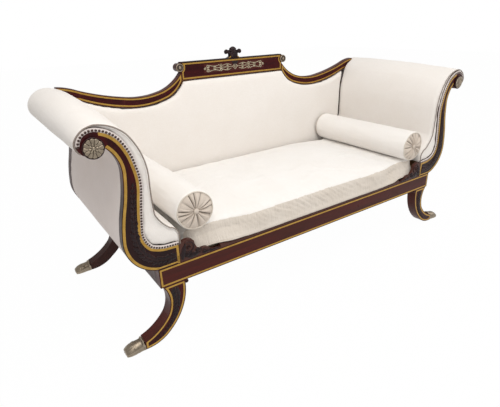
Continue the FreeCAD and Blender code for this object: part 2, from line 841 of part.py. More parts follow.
def back_board():
    """The flat covered board that closes the back from behind."""
    margin = 5.0
    start, edge = beside(head_side, inner_edge(), -fit_gap)
    steps = turned(start, edge)[:-2]
    steps[0] = [(instep[0], instep[1] + fit_gap)]
    corner = (brow[0] + 24.0, brow[1] + 32.0)
    right = [[(foot_end - fit_gap, rail_top)], [(foot_end - fit_gap, foot_top + fit_gap)]] + steps
    right += [[(brow[0] + 8.0, brow[1] + 21.0)], [corner], [(corner[0] + 2.0, sweep_end_height - 2 * margin)]]
    top = turned((tablet_half, sweep_start[1]), sweep_top())
    right += [[(top[0][0][0], top[0][0][1] - margin), (top[0][1][0], top[0][1][1] - margin)]]
    right += moved(top[1:], 0.0, -margin)
    right += [[(tablet_half, tablet_top - margin)], [(0.0, tablet_top - margin)]]
    return board(symmetric_outline((0.0, rail_top), right, crest_back), back_board_thickness)


# Loose cushions

def cushion_section(part, share, inset, bulge, lift, press):
    """One slice across the squab: flat underneath, bowed at front and back, arched on top."""
    x = part * cushion_half
    y0 = inset
    y1 = cushion_depth - 0.4 * inset
    bottom = cushion_bottom + lift
    seam = cushion_seam - press
    top = seam + share * cushion_crown
    middle = (bottom + seam) / 2

    def at(y, z):
        return Vector(x, y, z)

    base = Part.makeLine(at(y1 - 8.0, bottom), at(y0 + 8.0, bottom))
    face = Part.Arc(at(y0 + 8.0, bottom), at(y0 - bulge, middle), at(y0 + 4.0, seam)).toShape()
    crown = Part.Arc(at(y0 + 4.0, seam), at((y0 + y1) / 2, top), at(y1 - 5.0, seam)).toShape()
    back = Part.Arc(at(y1 - 5.0, seam), at(y1, middle), at(y1 - 8.0, bottom)).toShape()
    return Part.Wire([base, face, crown, back])


def seat_cushion():
    """The feather squab, crowned along its middle and pressed flat where the bolsters lie."""
    clear = bracket_thickness + 6.0
    sunk = bolster_press + 2.5
    half = [
        (0.00, 1.00, 0.0, cushion_bulge, 0.0, 0.0),
        (0.40, 1.00, 0.0, cushion_bulge, 0.0, 0.0),
        (0.58, 0.80, 0.0, cushion_bulge, 0.0, 0.0),
        (0.74, 0.25, clear, 4.0, 0.0, 0.5 * sunk),
        (0.86, -0.01, clear + 2.0, 4.0, 0.0, sunk),
        (0.97, -0.01, clear + 8.0, 4.0, 3.0, 1.5 * sunk),
        (1.00, -0.01, clear + 30.0, 2.0, 18.0, 5.0 * sunk),
    ]
    stations = [(-row[0],) + row[1:] for row in reversed(half[1:])] + half
    squab = Part.makeLoft([cushion_section(*row) for row in stations], True, False)
    above = box(-rail_end, rail_end, -cushion_depth, 2 * cushion_depth, cushion_bottom, scroll_z)
    return squab.common(above)


def bolster_body():
    """A stuffed roll along Y with gathered ends, sewn beads round the ends and a dimple for each button."""
    radius = bolster_radius
    shoulder = 15.0
    rim = radius - 9.0
    dish = 5.0

    def at(r, y):
        return Vector(bolster_centre_x + r, y, bolster_z)

    y1 = bolster_length
    edges = [
        Part.makeLine(at(0, dish), at(button_radius + 1.0, dish)),
        Part.Arc(at(button_radius + 1.0, dish), at(0.5 * rim, -bolster_dome + dish), at(rim, dish)).toShape(),
        Part.Arc(at(rim, dish), at(radius - 3.0, dish + 4.0), at(radius, shoulder)).toShape(),
        Part.makeLine(at(radius, shoulder), at(radius, y1 - shoulder)),
        Part.Arc(at(radius, y1 - shoulder), at(radius - 3.0, y1 - dish - 4.0), at(rim, y1 - dish)).toShape(),
        Part.Arc(at(rim, y1 - dish), at(0.5 * rim, y1 + bolster_dome - dish),
                 at(button_radius + 1.0, y1 - dish)).toShape(),
        Part.makeLine(at(button_radius + 1.0, y1 - dish), at(0, y1 - dish)),
        Part.makeLine(at(0, y1 - dish), at(0, dish)),
    ]
    centre = Vector(bolster_centre_x, 0, bolster_z)
    axis = Vector(0, 1, 0)
    body = Part.Face(Part.Wire(edges)).revolve(centre, axis, 360)
    for y in (dish + 4.0, y1 - dish - 4.0):
        bead = Part.makeTorus(radius - bolster_rim_radius, bolster_rim_radius,
                              Vector(bolster_centre_x, y, bolster_z), axis)
        body = body.fuse(bead)
    pleats = []
    for index in range(bolster_pleats):
        angle = 2 * math.pi * index / bolster_pleats
        spoke = Vector(math.cos(angle), 0, math.sin(angle))
        for y in (-1.0, y1 + 1.0):
            start = Vector(bolster_centre_x, y, bolster_z) + spoke * (button_radius + 5.0)
            pleats.append(Part.makeCylinder(pleat_radius, 0.62 * radius, start, spoke))
    return body.cut(group(pleats))


def bolster_buttons():
    dish = 5.0
    buttons = []
    for seat, out in ((dish, -1), (bolster_length - dish, 1)):
        start = Vector(bolster_centre_x, seat, bolster_z)
        button = Part.makeCylinder(button_radius, button_thickness, start, Vector(0, out, 0))
        outer_rim = [edge for edge in button.Edges
                     if len(edge.Vertexes) == 1 and abs(edge.BoundBox.YMin - seat) > 1.0]
        buttons.append(button.makeFillet(0.4 * button_thickness, outer_rim))
    return group(buttons)


# Pieces

export("front_seat_rail", front_rail())
export("front_rail_inlay", front_rail_inlay())
export("front_rail_cap", rail_cap())
export("rear_seat_rail", box(-rail_end, rail_end, frame_depth - rail_thickness, frame_depth,
                             rail_bottom, rail_top))
export_pair("end_rail", end_rail())
export("seat_cross_rails", cross_rails())
export("corner_blocks", corner_blocks())
long_webbing, cross_webbing = webbing()
export("long_webbing", long_webbing)
export("cross_webbing", cross_webbing)
export("seat_platform", seat_platform())
export_pair("rail_bracket", rail_bracket())

rear_leg_y = frame_depth - leg_thickness
export_pair("front_leg", leg(0.0, 0.0).cut(leg_inlay()))
export_pair("front_leg_inlay", leg_inlay())
export_pair("rear_leg", leg(rear_leg_y, rear_toe_extra))
export_pair("front_paw_cap", paw_cap(0.0, 0.0))
export_pair("rear_paw_cap", paw_cap(rear_leg_y, rear_toe_extra))

export_pair("front_arm_facing", arm_facing(facing_thickness, 0.0, True).cut(facing_inlay()))
export_pair("facing_inlay", facing_inlay())
export_pair("scroll_rosette", rosette())
export_pair("arm_nails", arm_nails())
export_pair("rear_arm_facing", arm_facing(rear_facing_thickness, rear_facing_y, False))
export_pair("arm_rails", arm_rails())
export_pair("arm_pad", arm_pad())
export_pair("arm_outside_panel", arm_outside_panel())
export_pair("arm_piping", arm_piping())

export("crest_tablet", tablet().cut(tablet_inlay()).cut(marquetry()))
export("tablet_inlay", tablet_inlay())
export("crest_marquetry", marquetry())
export("crest_finial", finial())
export_pair("crest_roll", crest_roll())
export_pair("swept_rail", swept_rail().cut(sweep_inlay()))
export_pair("swept_rail_inlay", sweep_inlay())
export("back_pad", back_pad())
export("back_stiles", back_stiles())
export("back_lower_rail", back_lower_rail())
export("back_board", back_board())

export("seat_cushion", seat_cushion())
export_pair("bolster", bolster_body())
export_pair("bolster_buttons", bolster_buttons())
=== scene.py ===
"""Looks for the scroll-end sofa: upholstery, carving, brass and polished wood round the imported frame.

Lengths are metres in the row frame. Outlines repeat the part's own and are drawn for the right end
in millimetres, as (x, z) seen from the front; the left end is the mirror image.
"""
import math

import bmesh
import bpy
import numpy as np
from mathutils import Matrix, Vector, kdtree, noise


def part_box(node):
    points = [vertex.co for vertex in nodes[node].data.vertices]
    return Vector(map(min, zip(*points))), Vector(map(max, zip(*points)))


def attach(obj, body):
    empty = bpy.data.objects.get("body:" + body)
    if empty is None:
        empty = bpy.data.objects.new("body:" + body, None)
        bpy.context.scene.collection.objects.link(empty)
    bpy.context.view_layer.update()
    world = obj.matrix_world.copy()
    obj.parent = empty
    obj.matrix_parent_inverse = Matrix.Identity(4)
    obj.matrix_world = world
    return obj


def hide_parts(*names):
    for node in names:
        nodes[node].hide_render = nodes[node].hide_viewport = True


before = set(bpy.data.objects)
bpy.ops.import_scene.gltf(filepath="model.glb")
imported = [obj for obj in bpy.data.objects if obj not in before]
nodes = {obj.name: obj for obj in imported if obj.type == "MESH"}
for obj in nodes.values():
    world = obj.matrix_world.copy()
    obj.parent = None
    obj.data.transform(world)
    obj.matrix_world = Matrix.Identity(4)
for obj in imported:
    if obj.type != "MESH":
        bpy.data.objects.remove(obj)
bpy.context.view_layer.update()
MM = 0.001

# Places taken from the frame, in millimetres except front_y
rail_low, rail_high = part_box("front_seat_rail")
front_y = rail_low.y
rail_end = rail_high.x / MM
rail_top = rail_high.z / MM
rail_bottom = rail_low.z / MM
crest_y = (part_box("crest_tablet")[0].y - front_y) / MM
tablet_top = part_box("crest_tablet")[1].z / MM
tablet_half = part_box("crest_tablet")[1].x / MM
rosette_low, rosette_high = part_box("right_scroll_rosette")
scroll_x = (rosette_low.x + rosette_high.x) / 2 / MM
scroll_z = (rosette_low.z + rosette_high.z) / 2 / MM
leg_y = (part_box("right_front_leg")[0].y - front_y) / MM


# Paths in the XZ plane, in millimetres

def on_circle(radius, degrees):
    angle = math.radians(degrees)
    return (scroll_x + radius * math.cos(angle), scroll_z + radius * math.sin(angle))


def between(a, b, along, across=0.0):
    dx = b[0] - a[0]
    dz = b[1] - a[1]
    length = math.hypot(dx, dz)
    return (a[0] + along * dx - across * dz / length, a[1] + along * dz + across * dx / length)


def arc_points(a, via, b, pitch):
    """Points along the circle from a through via to b, without a."""
    ax, az = a
    bx, bz = via
    cx, cz = b
    d = 2 * (ax * (bz - cz) + bx * (cz - az) + cx * (az - bz))
    if abs(d) < 1e-6:
        return [b]
    a2, b2, c2 = ax * ax + az * az, bx * bx + bz * bz, cx * cx + cz * cz
    ux = (a2 * (bz - cz) + b2 * (cz - az) + c2 * (az - bz)) / d
    uz = (a2 * (cx - bx) + b2 * (ax - cx) + c2 * (bx - ax)) / d
    radius = math.hypot(ax - ux, az - uz)
    start = math.atan2(az - uz, ax - ux)
    middle = (math.atan2(bz - uz, bx - ux) - start) % (2 * math.pi)
    end = (math.atan2(cz - uz, cx - ux) - start) % (2 * math.pi)
    if middle > end:
        end -= 2 * math.pi
    count = max(2, int(abs(end) * radius / pitch))
    return [(ux + radius * math.cos(start + end * i / count),
             uz + radius * math.sin(start + end * i / count)) for i in range(1, count + 1)]


def path_points(start, steps, pitch=4.0):
    points = [start]
    here = start
    for step in steps:
        if len(step) == 1:
            length = math.dist(here, step[0])
            count = max(1, int(length / pitch))
            points += [between(here, step[0], i / count) for i in range(1, count + 1)]
        else:
            points += arc_points(here, step[0], step[1], pitch)
        here = step[-1]
    return points


def resampled(points, count):
    """The same path as count points a constant distance apart."""
    data = np.array(points, float)
    gaps = np.hypot(*np.diff(data[:, :2], axis=0).T)
    length = np.concatenate([[0.0], np.cumsum(gaps)])
    where = np.linspace(0.0, length[-1], count)
    return np.column_stack([np.interp(where, length, data[:, k]) for k in range(data.shape[1])])


def normals_2d(points):
    """Unit normals to the left of the way along the path."""
    way = np.gradient(np.array(points, float), axis=0)
    way /= np.linalg.norm(way, axis=1)[:, None]
    return np.column_stack([-way[:, 1], way[:, 0]])


scroll_radius = 33.0
foot_end = rail_end - 91.0
foot_top = rail_top + 86.0
belly = (rail_end + 109.0, rail_top + 153.0)
waist = (rail_end + 72.5, rail_top + 379.0)
head_left = on_circle(scroll_radius, 190)
head_side = on_circle(47.0, 13)
head_crown = on_circle(57.0, 94)
brow = (rail_end + 58.0, scroll_z + 10.0)
neck = (rail_end + 22.0, scroll_z - 78.0)
waist_inner = (rail_end + 18.0, rail_top + 299.0)
belly_inner = (rail_end + 32.0, rail_top + 180.0)
heel = (rail_end + 6.0, rail_top + 103.0)
instep = (rail_end - 49.0, foot_top + 2.0)
foot_shoulder = (foot_end, foot_top)
pad_foot = (foot_end - 8.0, foot_top - 8.0)
pad_instep = (foot_end + 25.0, foot_top + 70.0)
pad_belly = (belly_inner[0] - 49.0, belly_inner[1] + 41.0)
pad_waist = (waist_inner[0] - 33.0, waist_inner[1] + 62.0)
roll_rise = 69.0
roll_reach = 53.0


def inner_edge():
    return path_points(head_side, [
        [on_circle(53.0, 55), head_crown],
        [on_circle(65.0, 136), brow],
        [between(brow, neck, 0.6, -5.0), neck],
        [between(neck, waist_inner, 0.46, -6.5), waist_inner],
        [between(waist_inner, belly_inner, 0.5, 1.0), belly_inner],
        [between(belly_inner, heel, 0.5, 10.0), heel],
        [between(heel, instep, 0.4, 3.0), instep],
        [foot_shoulder],
    ])


def outer_edge():
    middle = between(belly, waist, 0.5)
    return path_points((rail_end, rail_top), [
        [between((rail_end, rail_top), belly, 0.52, -35.0), belly],
        [between(belly, middle, 0.5, -2.7), middle],
        [between(middle, waist, 0.5, 2.7), waist],
        [between(waist, head_left, 0.5, 13.5), head_left],
    ])


def pad_front_line():
    shoulder = (scroll_x - 108.0, scroll_z + roll_rise - 44.0)
    crown = (scroll_x - 15.0, scroll_z + roll_rise)
    side = (scroll_x + roll_reach, scroll_z + 24.0)
    return path_points(pad_foot, [
        [(pad_foot[0], pad_foot[1] + 30.0)],
        [(pad_foot[0] + 6.0, pad_foot[1] + 58.0), pad_instep],
        [between(pad_instep, pad_belly, 0.5, -5.0), pad_belly],
        [between(pad_belly, pad_waist, 0.5, -1.5), pad_waist],
        [between(pad_waist, shoulder, 0.5, 13.0), shoulder],
        [between(shoulder, crown, 0.5, 10.0), crown],
        [between(crown, side, 0.55, 12.0), side],
        [(side[0] - 4.0, scroll_z - 4.0), on_circle(scroll_radius + 0.3, -40)],
    ])


# Mesh helpers

def spot(x, y, z):
    """A point of the part in millimetres, y from the rail's front, as metres in the row frame."""
    return (x * MM, front_y + y * MM, z * MM)


def circle_spots(centre, radius, y, turns):
    """Points of a circle round the Y axis at the angles turns."""
    return [spot(centre[0] + radius * math.cos(a), y, centre[1] + radius * math.sin(a)) for a in turns]


def whole_turn(sides):
    return [2 * math.pi * k / sides for k in range(sides)]


def placed(name, data):
    """A new object in the scene."""
    made = bpy.data.objects.new(name, data)
    bpy.context.scene.collection.objects.link(made)
    return made


def shade(mesh, smooth=True):
    for polygon in mesh.polygons:
        polygon.use_smooth = smooth


def new_piece(name, points, faces, material, stands_for=None, body="frame", smooth=True):
    """A piece with its finish, the body it rides on and the CAD node it stands for."""
    mesh = bpy.data.meshes.new(name)
    mesh.from_pydata([tuple(p) for p in points], [], faces)
    mesh.validate()
    bm = bmesh.new()
    bm.from_mesh(mesh)
    bmesh.ops.recalc_face_normals(bm, faces=bm.faces)
    bm.to_mesh(mesh)
    bm.free()
    piece = placed(name, mesh)
    mesh.materials.append(material)
    shade(mesh, smooth)
    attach(piece, body)
    if stands_for:
        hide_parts(stands_for)
    return piece


def both_sides(name, points, faces, material, stands_for=None, smooth=True):
    """The right piece and its mirror image; stands_for is a node's name without its side."""
    pair = []
    for side, hand in (("right_", 1), ("left_", -1)):
        node = side + stands_for if stands_for else None
        turned = [(hand * x, y, z) for x, y, z in points]
        pair.append(new_piece(side + name, turned, faces, material, node, smooth=smooth))
    return pair


def grid_faces(rows, columns, wrap=False):
    """Faces between rows of points; wrap joins the last point of each row to its first."""
    faces = []
    for i in range(rows - 1):
        for j in range(columns if wrap else columns - 1):
            k = (j + 1) % columns
            faces.append((i * columns + j, i * columns + k, (i + 1) * columns + k, (i + 1) * columns + j))
    return faces


def tube_faces(rows, columns):
    """Faces of rings joined into a tube, with one face over each end."""
    last = (rows - 1) * columns
    ends = [tuple(range(columns)), tuple(last + k for k in reversed(range(columns)))]
    return grid_faces(rows, columns, wrap=True) + ends


def sheet_faces(rows, columns):
    """Faces of a thin closed sheet: a grid, a second grid whose points come after it, and their rim."""
    count = rows * columns
    faces = grid_faces(rows, columns)
    faces += [tuple(count + i for i in reversed(face)) for face in faces]
    rim = list(range(columns))
    rim += [i * columns + columns - 1 for i in range(1, rows)]
    rim += [(rows - 1) * columns + j for j in range(columns - 2, -1, -1)]
    rim += [i * columns for i in range(rows - 2, 0, -1)]
    return faces + [(a, b, count + b, count + a) for a, b in zip(rim, rim[1:] + rim[:1])]


# How far a carved leaf's back lies inside its board, in millimetres
LEAF_SUNK = 0.6


class Form:
    """Points and faces gathered from many small shapes into one mesh."""

    def __init__(self):
        self.points = []
        self.faces = []

    def add(self, points, faces):
        base = len(self.points)
        self.points += [tuple(p) for p in points]
        self.faces += [tuple(base + i for i in face) for face in faces]

    def piece(self, name, material, slot, stands_for=None, body="frame"):
        return new_piece(name, self.points, self.faces, material, stands_for, body)

    def pair(self, name, material, slot, stands_for=None, smooth=True):
        return both_sides(name, self.points, self.faces, material, stands_for, smooth)

    def tube(self, path, radii, sides=8, flat=1.0):
        """A closed tube along 3D points, a radius for each; flat squashes it along Y."""
        path = np.array(path, float)
        way = np.gradient(path, axis=0)
        way /= np.linalg.norm(way, axis=1)[:, None] + 1e-12
        rings = []
        side = np.cross(way[0], (0.0, 1.0, 0.0))
        if np.linalg.norm(side) < 1e-6:
            side = np.cross(way[0], (1.0, 0.0, 0.0))
        for point, along, radius in zip(path, way, radii):
            side = side - along * np.dot(side, along)
            side /= np.linalg.norm(side)
            up = np.cross(along, side)
            for angle in whole_turn(sides):
                offset = side * math.cos(angle) + up * math.sin(angle)
                offset[1] *= flat
                rings.append(point + radius * offset)
        self.add(rings, tube_faces(len(path), sides))

    def leaf(self, base, heading, length, width, rise, face_y, bend=0.0, lobes=3, rows=15, cols=9):
        """A carved leaf lying on the plane y = face_y: a midrib, lobed edges and a domed front.

        heading is degrees from +X towards +Z, and bend turns the leaf by that many degrees by its tip.
        """
        points = []
        x, z = base
        step = length / (rows - 1)
        for i in range(rows):
            t = i / (rows - 1)
            angle = math.radians(heading + bend * t)
            if i:
                x += step * math.cos(angle)
                z += step * math.sin(angle)
            reach = width / 2 * math.sin(math.pi * min(0.999, 0.04 + 0.96 * t ** 0.8)) ** 0.75
            reach *= 1.0 + 0.22 * math.cos(2 * math.pi * lobes * t)
            reach = max(reach, 0.02 * width)
            for j in range(cols):
                s = -1.0 + 2.0 * j / (cols - 1)
                rib = 0.30 * math.exp(-(s / 0.16) ** 2)
                vein = 0.16 * math.cos(2 * math.pi * lobes * (t + 0.22 * abs(s)))
                height = rise * (math.sqrt(max(0.0, 1.0 - s * s)) * (0.86 + vein) + rib)
                height *= 0.35 + 0.65 * math.sin(math.pi * min(1.0, 0.1 + 0.85 * t))
                points.append((x - s * reach * math.sin(angle), face_y - height,
                               z + s * reach * math.cos(angle)))
        back = [(x, face_y + LEAF_SUNK, z) for x, _, z in points]
        self.add([spot(*p) for p in points + back], sheet_faces(rows, cols))

    def scroll(self, centre, radius, turns, start, thick, face_y, hand=1, rise=None):
        """A volute: a tube that winds in to a small eye."""
        steps = int(26 * turns)
        path = []
        radii = []
        for i in range(steps + 1):
            t = i / steps
            r = radius * (1.0 - 0.80 * t)
            angle = math.radians(start) + hand * 2 * math.pi * turns * t
            path.append(spot(centre[0] + r * math.cos(angle), face_y, centre[1] + r * math.sin(angle)))
            radii.append(MM * thick * (1.0 - 0.55 * t))
        self.tube(path, radii, sides=8)
        self.ball(centre, 0.24 * radius, face_y, rise or thick)

    def ball(self, centre, radius, face_y, rise, rings=6, sides=14):
        """A domed boss on the plane y = face_y."""
        points = []
        for i in range(rings + 1):
            angle = 0.5 * math.pi * i / rings
            points += circle_spots(centre, radius * math.cos(angle), face_y - rise * math.sin(angle),
                                   whole_turn(sides))
        self.add(points, tube_faces(rings + 1, sides))

    def turned(self, profile, centre, sides=48):
        """A disc turned round the Y axis from (radius, y) rows, closed at both ends on the axis."""
        points = []
        for radius, y in profile:
            points += circle_spots(centre, radius, y, whole_turn(sides))
        self.add(points, tube_faces(len(profile), sides))

    def bead(self, centre, radii, rings=9, sides=16):
        """An egg-shaped swelling round an (x, y, z) centre."""
        points = []
        for i in range(rings + 1):
            tilt = math.pi * (i + 0.02) / (rings + 0.04)
            for turn in whole_turn(sides):
                points.append(spot(centre[0] + radii[0] * math.sin(tilt) * math.cos(turn),
                                   centre[1] + radii[1] * math.sin(tilt) * math.sin(turn),
                                   centre[2] + radii[2] * math.cos(tilt)))
        self.add(points, tube_faces(rings + 1, sides))


# Materials

def add_node(tree, kind, inputs=None, **settings):
    """A shader node; an input is a value, or another node's output to link to it."""
    made = tree.nodes.new(kind)
    for key, value in settings.items():
        setattr(made, key, value)
    for key, value in (inputs or {}).items():
        if isinstance(value, bpy.types.NodeSocket):
            tree.links.new(value, made.inputs[key])
        else:
            made.inputs[key].default_value = value
    return made


# Places of the colour mix node's share and two colours among its inputs, and of its colour output
MIX_SHARE, MIX_A, MIX_B = 0, 6, 7
MIX_RESULT = 2


class Look:
    """A node material with short calls for its nodes and links."""

    def __init__(self, name):
        self.material = bpy.data.materials.new(name)
        self.material.use_nodes = True
        self.tree = self.material.node_tree
        self.shader = self.tree.nodes["Principled BSDF"]
        self.place = self.node("ShaderNodeTexCoord").outputs["Object"]

    def node(self, kind, inputs=None, **settings):
        return add_node(self.tree, kind, inputs, **settings)

    def mapped(self, scale, turn=(0.0, 0.0, 0.0)):
        inputs = {"Scale": scale, "Rotation": turn, "Vector": self.place}
        return self.node("ShaderNodeMapping", inputs).outputs["Vector"]

    def noise(self, scale, detail=4.0, rough=0.5, stretch=(1.0, 1.0, 1.0), turn=(0.0, 0.0, 0.0), warp=0.0):
        inputs = {"Scale": scale, "Detail": detail, "Roughness": rough, "Distortion": warp,
                  "Vector": self.mapped(stretch, turn)}
        return self.node("ShaderNodeTexNoise", inputs).outputs["Fac"]

    def wave(self, scale, direction, warp):
        inputs = {"Scale": scale, "Distortion": warp, "Detail": 2.0, "Vector": self.mapped((1.0, 1.0, 1.0))}
        return self.node("ShaderNodeTexWave", inputs, bands_direction=direction).outputs["Fac"]

    def ramp(self, source, stops):
        made = self.node("ShaderNodeValToRGB", {"Fac": source})
        elements = made.color_ramp.elements
        while len(elements) < len(stops):
            elements.new(0.5)
        for element, (position, colour) in zip(elements, stops):
            element.position = position
            element.color = (*colour, 1.0)
        return made.outputs["Color"]

    def span(self, source, low, high, to_low, to_high):
        """source stretched so that low to high becomes to_low to to_high."""
        inputs = {"Value": source, "From Min": low, "From Max": high, "To Min": to_low, "To Max": to_high}
        return self.node("ShaderNodeMapRange", inputs).outputs["Result"]

    def math(self, kind, a, b):
        return self.node("ShaderNodeMath", {0: a, 1: b}, operation=kind).outputs["Value"]

    def mix(self, share, a, b):
        """The colour that lies share of the way from a to b."""
        a, b = [(*colour, 1.0) if isinstance(colour, tuple) else colour for colour in (a, b)]
        inputs = {MIX_SHARE: share, MIX_A: a, MIX_B: b}
        return self.node("ShaderNodeMix", inputs, data_type="RGBA").outputs[MIX_RESULT]

    def hollow(self, low, high):
        """0 in hollows and 1 on ridges, from how the surface curves."""
        return self.span(self.node("ShaderNodeNewGeometry").outputs["Pointiness"], low, high, 0.0, 1.0)

    def bump(self, layers):
        """Stacked bumps: (height, strength, distance in metres)."""
        below = {}
        for height, strength, distance in layers:
            inputs = {"Height": height, "Strength": strength, "Distance": distance, **below}
            below = {"Normal": self.node("ShaderNodeBump", inputs).outputs["Normal"]}
        self.tree.links.new(below["Normal"], self.shader.inputs["Normal"])

    def set(self, **values):
        for key, value in values.items():
            self.shader.inputs[key.replace("_", " ")].default_value = value

    def colour(self, source):
        self.tree.links.new(source, self.shader.inputs["Base Color"])

    def rough(self, source):
        self.tree.links.new(source, self.shader.inputs["Roughness"])


def cloth(name, light, dark, thread=1500.0, slub=0.35, soil=0.35, sheen=0.12, creases=0.0,
          fine_wrinkles=False):
    """A plain linen weave with slubs, faint soiling and a dull sheen, and painted shade in its hollows and
    creases.
    """
    look = Look(name)
    warp = look.wave(thread, "X", 1.2)
    weft = look.wave(thread, "Z", 1.2)
    depth = look.wave(thread, "Y", 1.2)
    weave = look.math("ADD", look.math("MULTIPLY", warp, weft), look.math("MULTIPLY", depth, 0.5))
    along = look.noise(900.0, 3.0, 0.6, (0.05, 1.0, 1.0))
    up = look.noise(900.0, 3.0, 0.6, (1.0, 1.0, 0.05))
    slubs = look.math("MULTIPLY", look.math("ADD", along, up), 0.5)
    cloudy = look.noise(7.0, 5.0, 0.6)
    base = look.mix(look.span(cloudy, 0.35, 0.75, 0.0, soil), light, dark)
    base = look.mix(look.span(slubs, 0.42, 0.62, slub, 0.0), base, dark)
    # Painted shade: with creases set, the cloth darkens in its hollows, where shade falls.
    if creases:
        shade = look.math("MULTIPLY", look.math("SUBTRACT", 1.0, look.hollow(0.44, 0.50)), creases)
        base = look.mix(shade, base, tuple(0.22 * c for c in dark))
    look.colour(base)
    look.rough(look.span(cloudy, 0.3, 0.7, 0.82, 0.94))
    look.set(Sheen_Weight=sheen, Sheen_Roughness=0.5, Specular_IOR_Level=0.25)
    layers = [(weave, 0.35, 0.0003), (slubs, 0.3, 0.0005), (cloudy, 0.25, 0.002)]
    if fine_wrinkles:
        lines = look.noise(70.0, 3.0, 0.55, (1.0, 0.3, 0.16), (0.0, math.radians(52), 0.0), 0.6)
        layers.append((lines, 0.9, 0.006))
    look.bump(layers)
    return look.material


def wood(name, stops, stretch, figure=14.0, gloss=(0.26, 0.46), coat=0.08, dark_below=None, rub=0.25):
    """Polished hardwood: grain streaked along one axis, dark pores, worn polish, edges lightened by wear and
    painted highlight.

    Below the height dark_below, in metres, the wood turns nearly black.
    """
    look = Look(name)
    streaks = look.noise(figure, 7.0, 0.62, stretch, warp=1.4)
    fine = look.noise(figure * 16, 3.0, 0.6, stretch)
    pores = look.noise(figure * 40, 2.0, 0.5, stretch)
    grain = look.math("ADD", look.math("MULTIPLY", streaks, 0.75), look.math("MULTIPLY", fine, 0.25))
    base = look.ramp(grain, stops)
    base = look.mix(look.span(pores, 0.60, 0.72, 0.0, 0.55), base, (0.010, 0.005, 0.004))
    # Ridges and edges lightened: partly real wear, partly painted highlight.
    ridge_wear_and_highlight = look.hollow(0.54, 0.62)
    base = look.mix(look.math("MULTIPLY", ridge_wear_and_highlight, rub), base, (0.16, 0.055, 0.035))
    if dark_below:
        parts = look.node("ShaderNodeSeparateXYZ", {"Vector": look.place})
        share = look.span(parts.outputs["Z"], dark_below - 0.06, dark_below + 0.03, 0.75, 0.0)
        base = look.mix(share, base, (0.014, 0.009, 0.009))
    look.colour(base)
    smear = look.noise(30.0, 4.0, 0.6)
    look.rough(look.span(smear, 0.3, 0.7, gloss[0], gloss[1]))
    look.set(Coat_Weight=coat, Coat_Roughness=0.22, Specular_IOR_Level=0.09)
    look.bump([(pores, 0.12, 0.0003), (fine, 0.10, 0.0004), (streaks, 0.08, 0.001)])
    return look.material


def metal(name, bright, dull, dark, rough=(0.28, 0.5), hollows=True, tarnish=0.6):
    """Old metal: bright on ridges, dark in hollows, with patches of tarnish."""
    look = Look(name)
    patches = look.noise(60.0, 6.0, 0.65)
    spots = look.noise(700.0, 3.0, 0.6)
    base = look.mix(look.span(patches, 0.35, 0.65, 0.0, tarnish), bright, dull)
    base = look.mix(look.span(spots, 0.58, 0.72, 0.0, 0.5), base, dark)
    if hollows:
        base = look.mix(look.hollow(0.44, 0.53), dark, base)
    look.colour(base)
    look.rough(look.span(patches, 0.3, 0.7, rough[0], rough[1]))
    look.set(Metallic=1.0)
    look.bump([(spots, 0.2, 0.0003), (patches, 0.15, 0.001)])
    return look.material


WINE = [(0.25, (0.009, 0.001, 0.001)), (0.48, (0.034, 0.002, 0.003)), (0.62, (0.060, 0.004, 0.004)),
        (0.80, (0.105, 0.011, 0.008))]
NIGHT = [(0.25, (0.007, 0.004, 0.004)), (0.50, (0.017, 0.008, 0.009)), (0.65, (0.030, 0.014, 0.015)),
         (0.82, (0.055, 0.028, 0.027))]
BEECH = [(0.25, (0.28, 0.16, 0.08)), (0.50, (0.40, 0.25, 0.13)), (0.70, (0.50, 0.33, 0.19)),
         (0.85, (0.58, 0.41, 0.26))]

wood_along = wood("rosewood_along", WINE, (0.09, 1.0, 1.0))
wood_up = wood("rosewood_up", WINE, (1.0, 1.0, 0.10))
wood_facing = wood("rosewood_facing", WINE, (1.0, 1.0, 0.10), dark_below=0.67)
wood_back = wood("rosewood_plain", NIGHT, (0.09, 1.0, 1.0), gloss=(0.35, 0.55), coat=0.1)
wood_back_up = wood("rosewood_plain_up", NIGHT, (1.0, 1.0, 0.10), gloss=(0.35, 0.55), coat=0.1)
# The carving's ridges are lightened more strongly: wear and painted highlight.
carved = wood("carved_wood", NIGHT, (1.0, 1.0, 0.25), figure=22.0, gloss=(0.26, 0.42), coat=0.2,
              rub=0.4)
beech = wood("beech", BEECH, (0.08, 1.0, 1.0), gloss=(0.6, 0.8), coat=0.0)
brass_line = metal("brass_line", (0.54, 0.325, 0.075), (0.36, 0.20, 0.045), (0.16, 0.09, 0.03),
                   (0.34, 0.52), False, 0.5)
cast_brass = metal("cast_brass", (0.46, 0.385, 0.29), (0.25, 0.20, 0.15), (0.030, 0.022, 0.018),
                   (0.34, 0.55))
bronze = metal("bronze_nails", (0.10, 0.065, 0.055), (0.045, 0.030, 0.032), (0.012, 0.008, 0.008),
               (0.30, 0.5), False)
cream = cloth("cream_linen", (0.885, 0.85, 0.815), (0.78, 0.72, 0.65), soil=0.25)
squab_cloth = cloth("squab_linen", (0.90, 0.88, 0.855), (0.80, 0.75, 0.69), soil=0.30, slub=0.25)
outside_cloth = cloth("outside_linen", (0.80, 0.73, 0.70), (0.68, 0.60, 0.55), soil=0.45)
# Painted shade in the hollows of the bolster ends' pleats.
bolster_end_cloth = cloth("bolster_end_linen", (0.70, 0.62, 0.54), (0.52, 0.43, 0.35), soil=0.4, creases=0.9)
edge_cloth = cloth("edge_linen", (0.70, 0.64, 0.61), (0.54, 0.46, 0.42), soil=0.4)
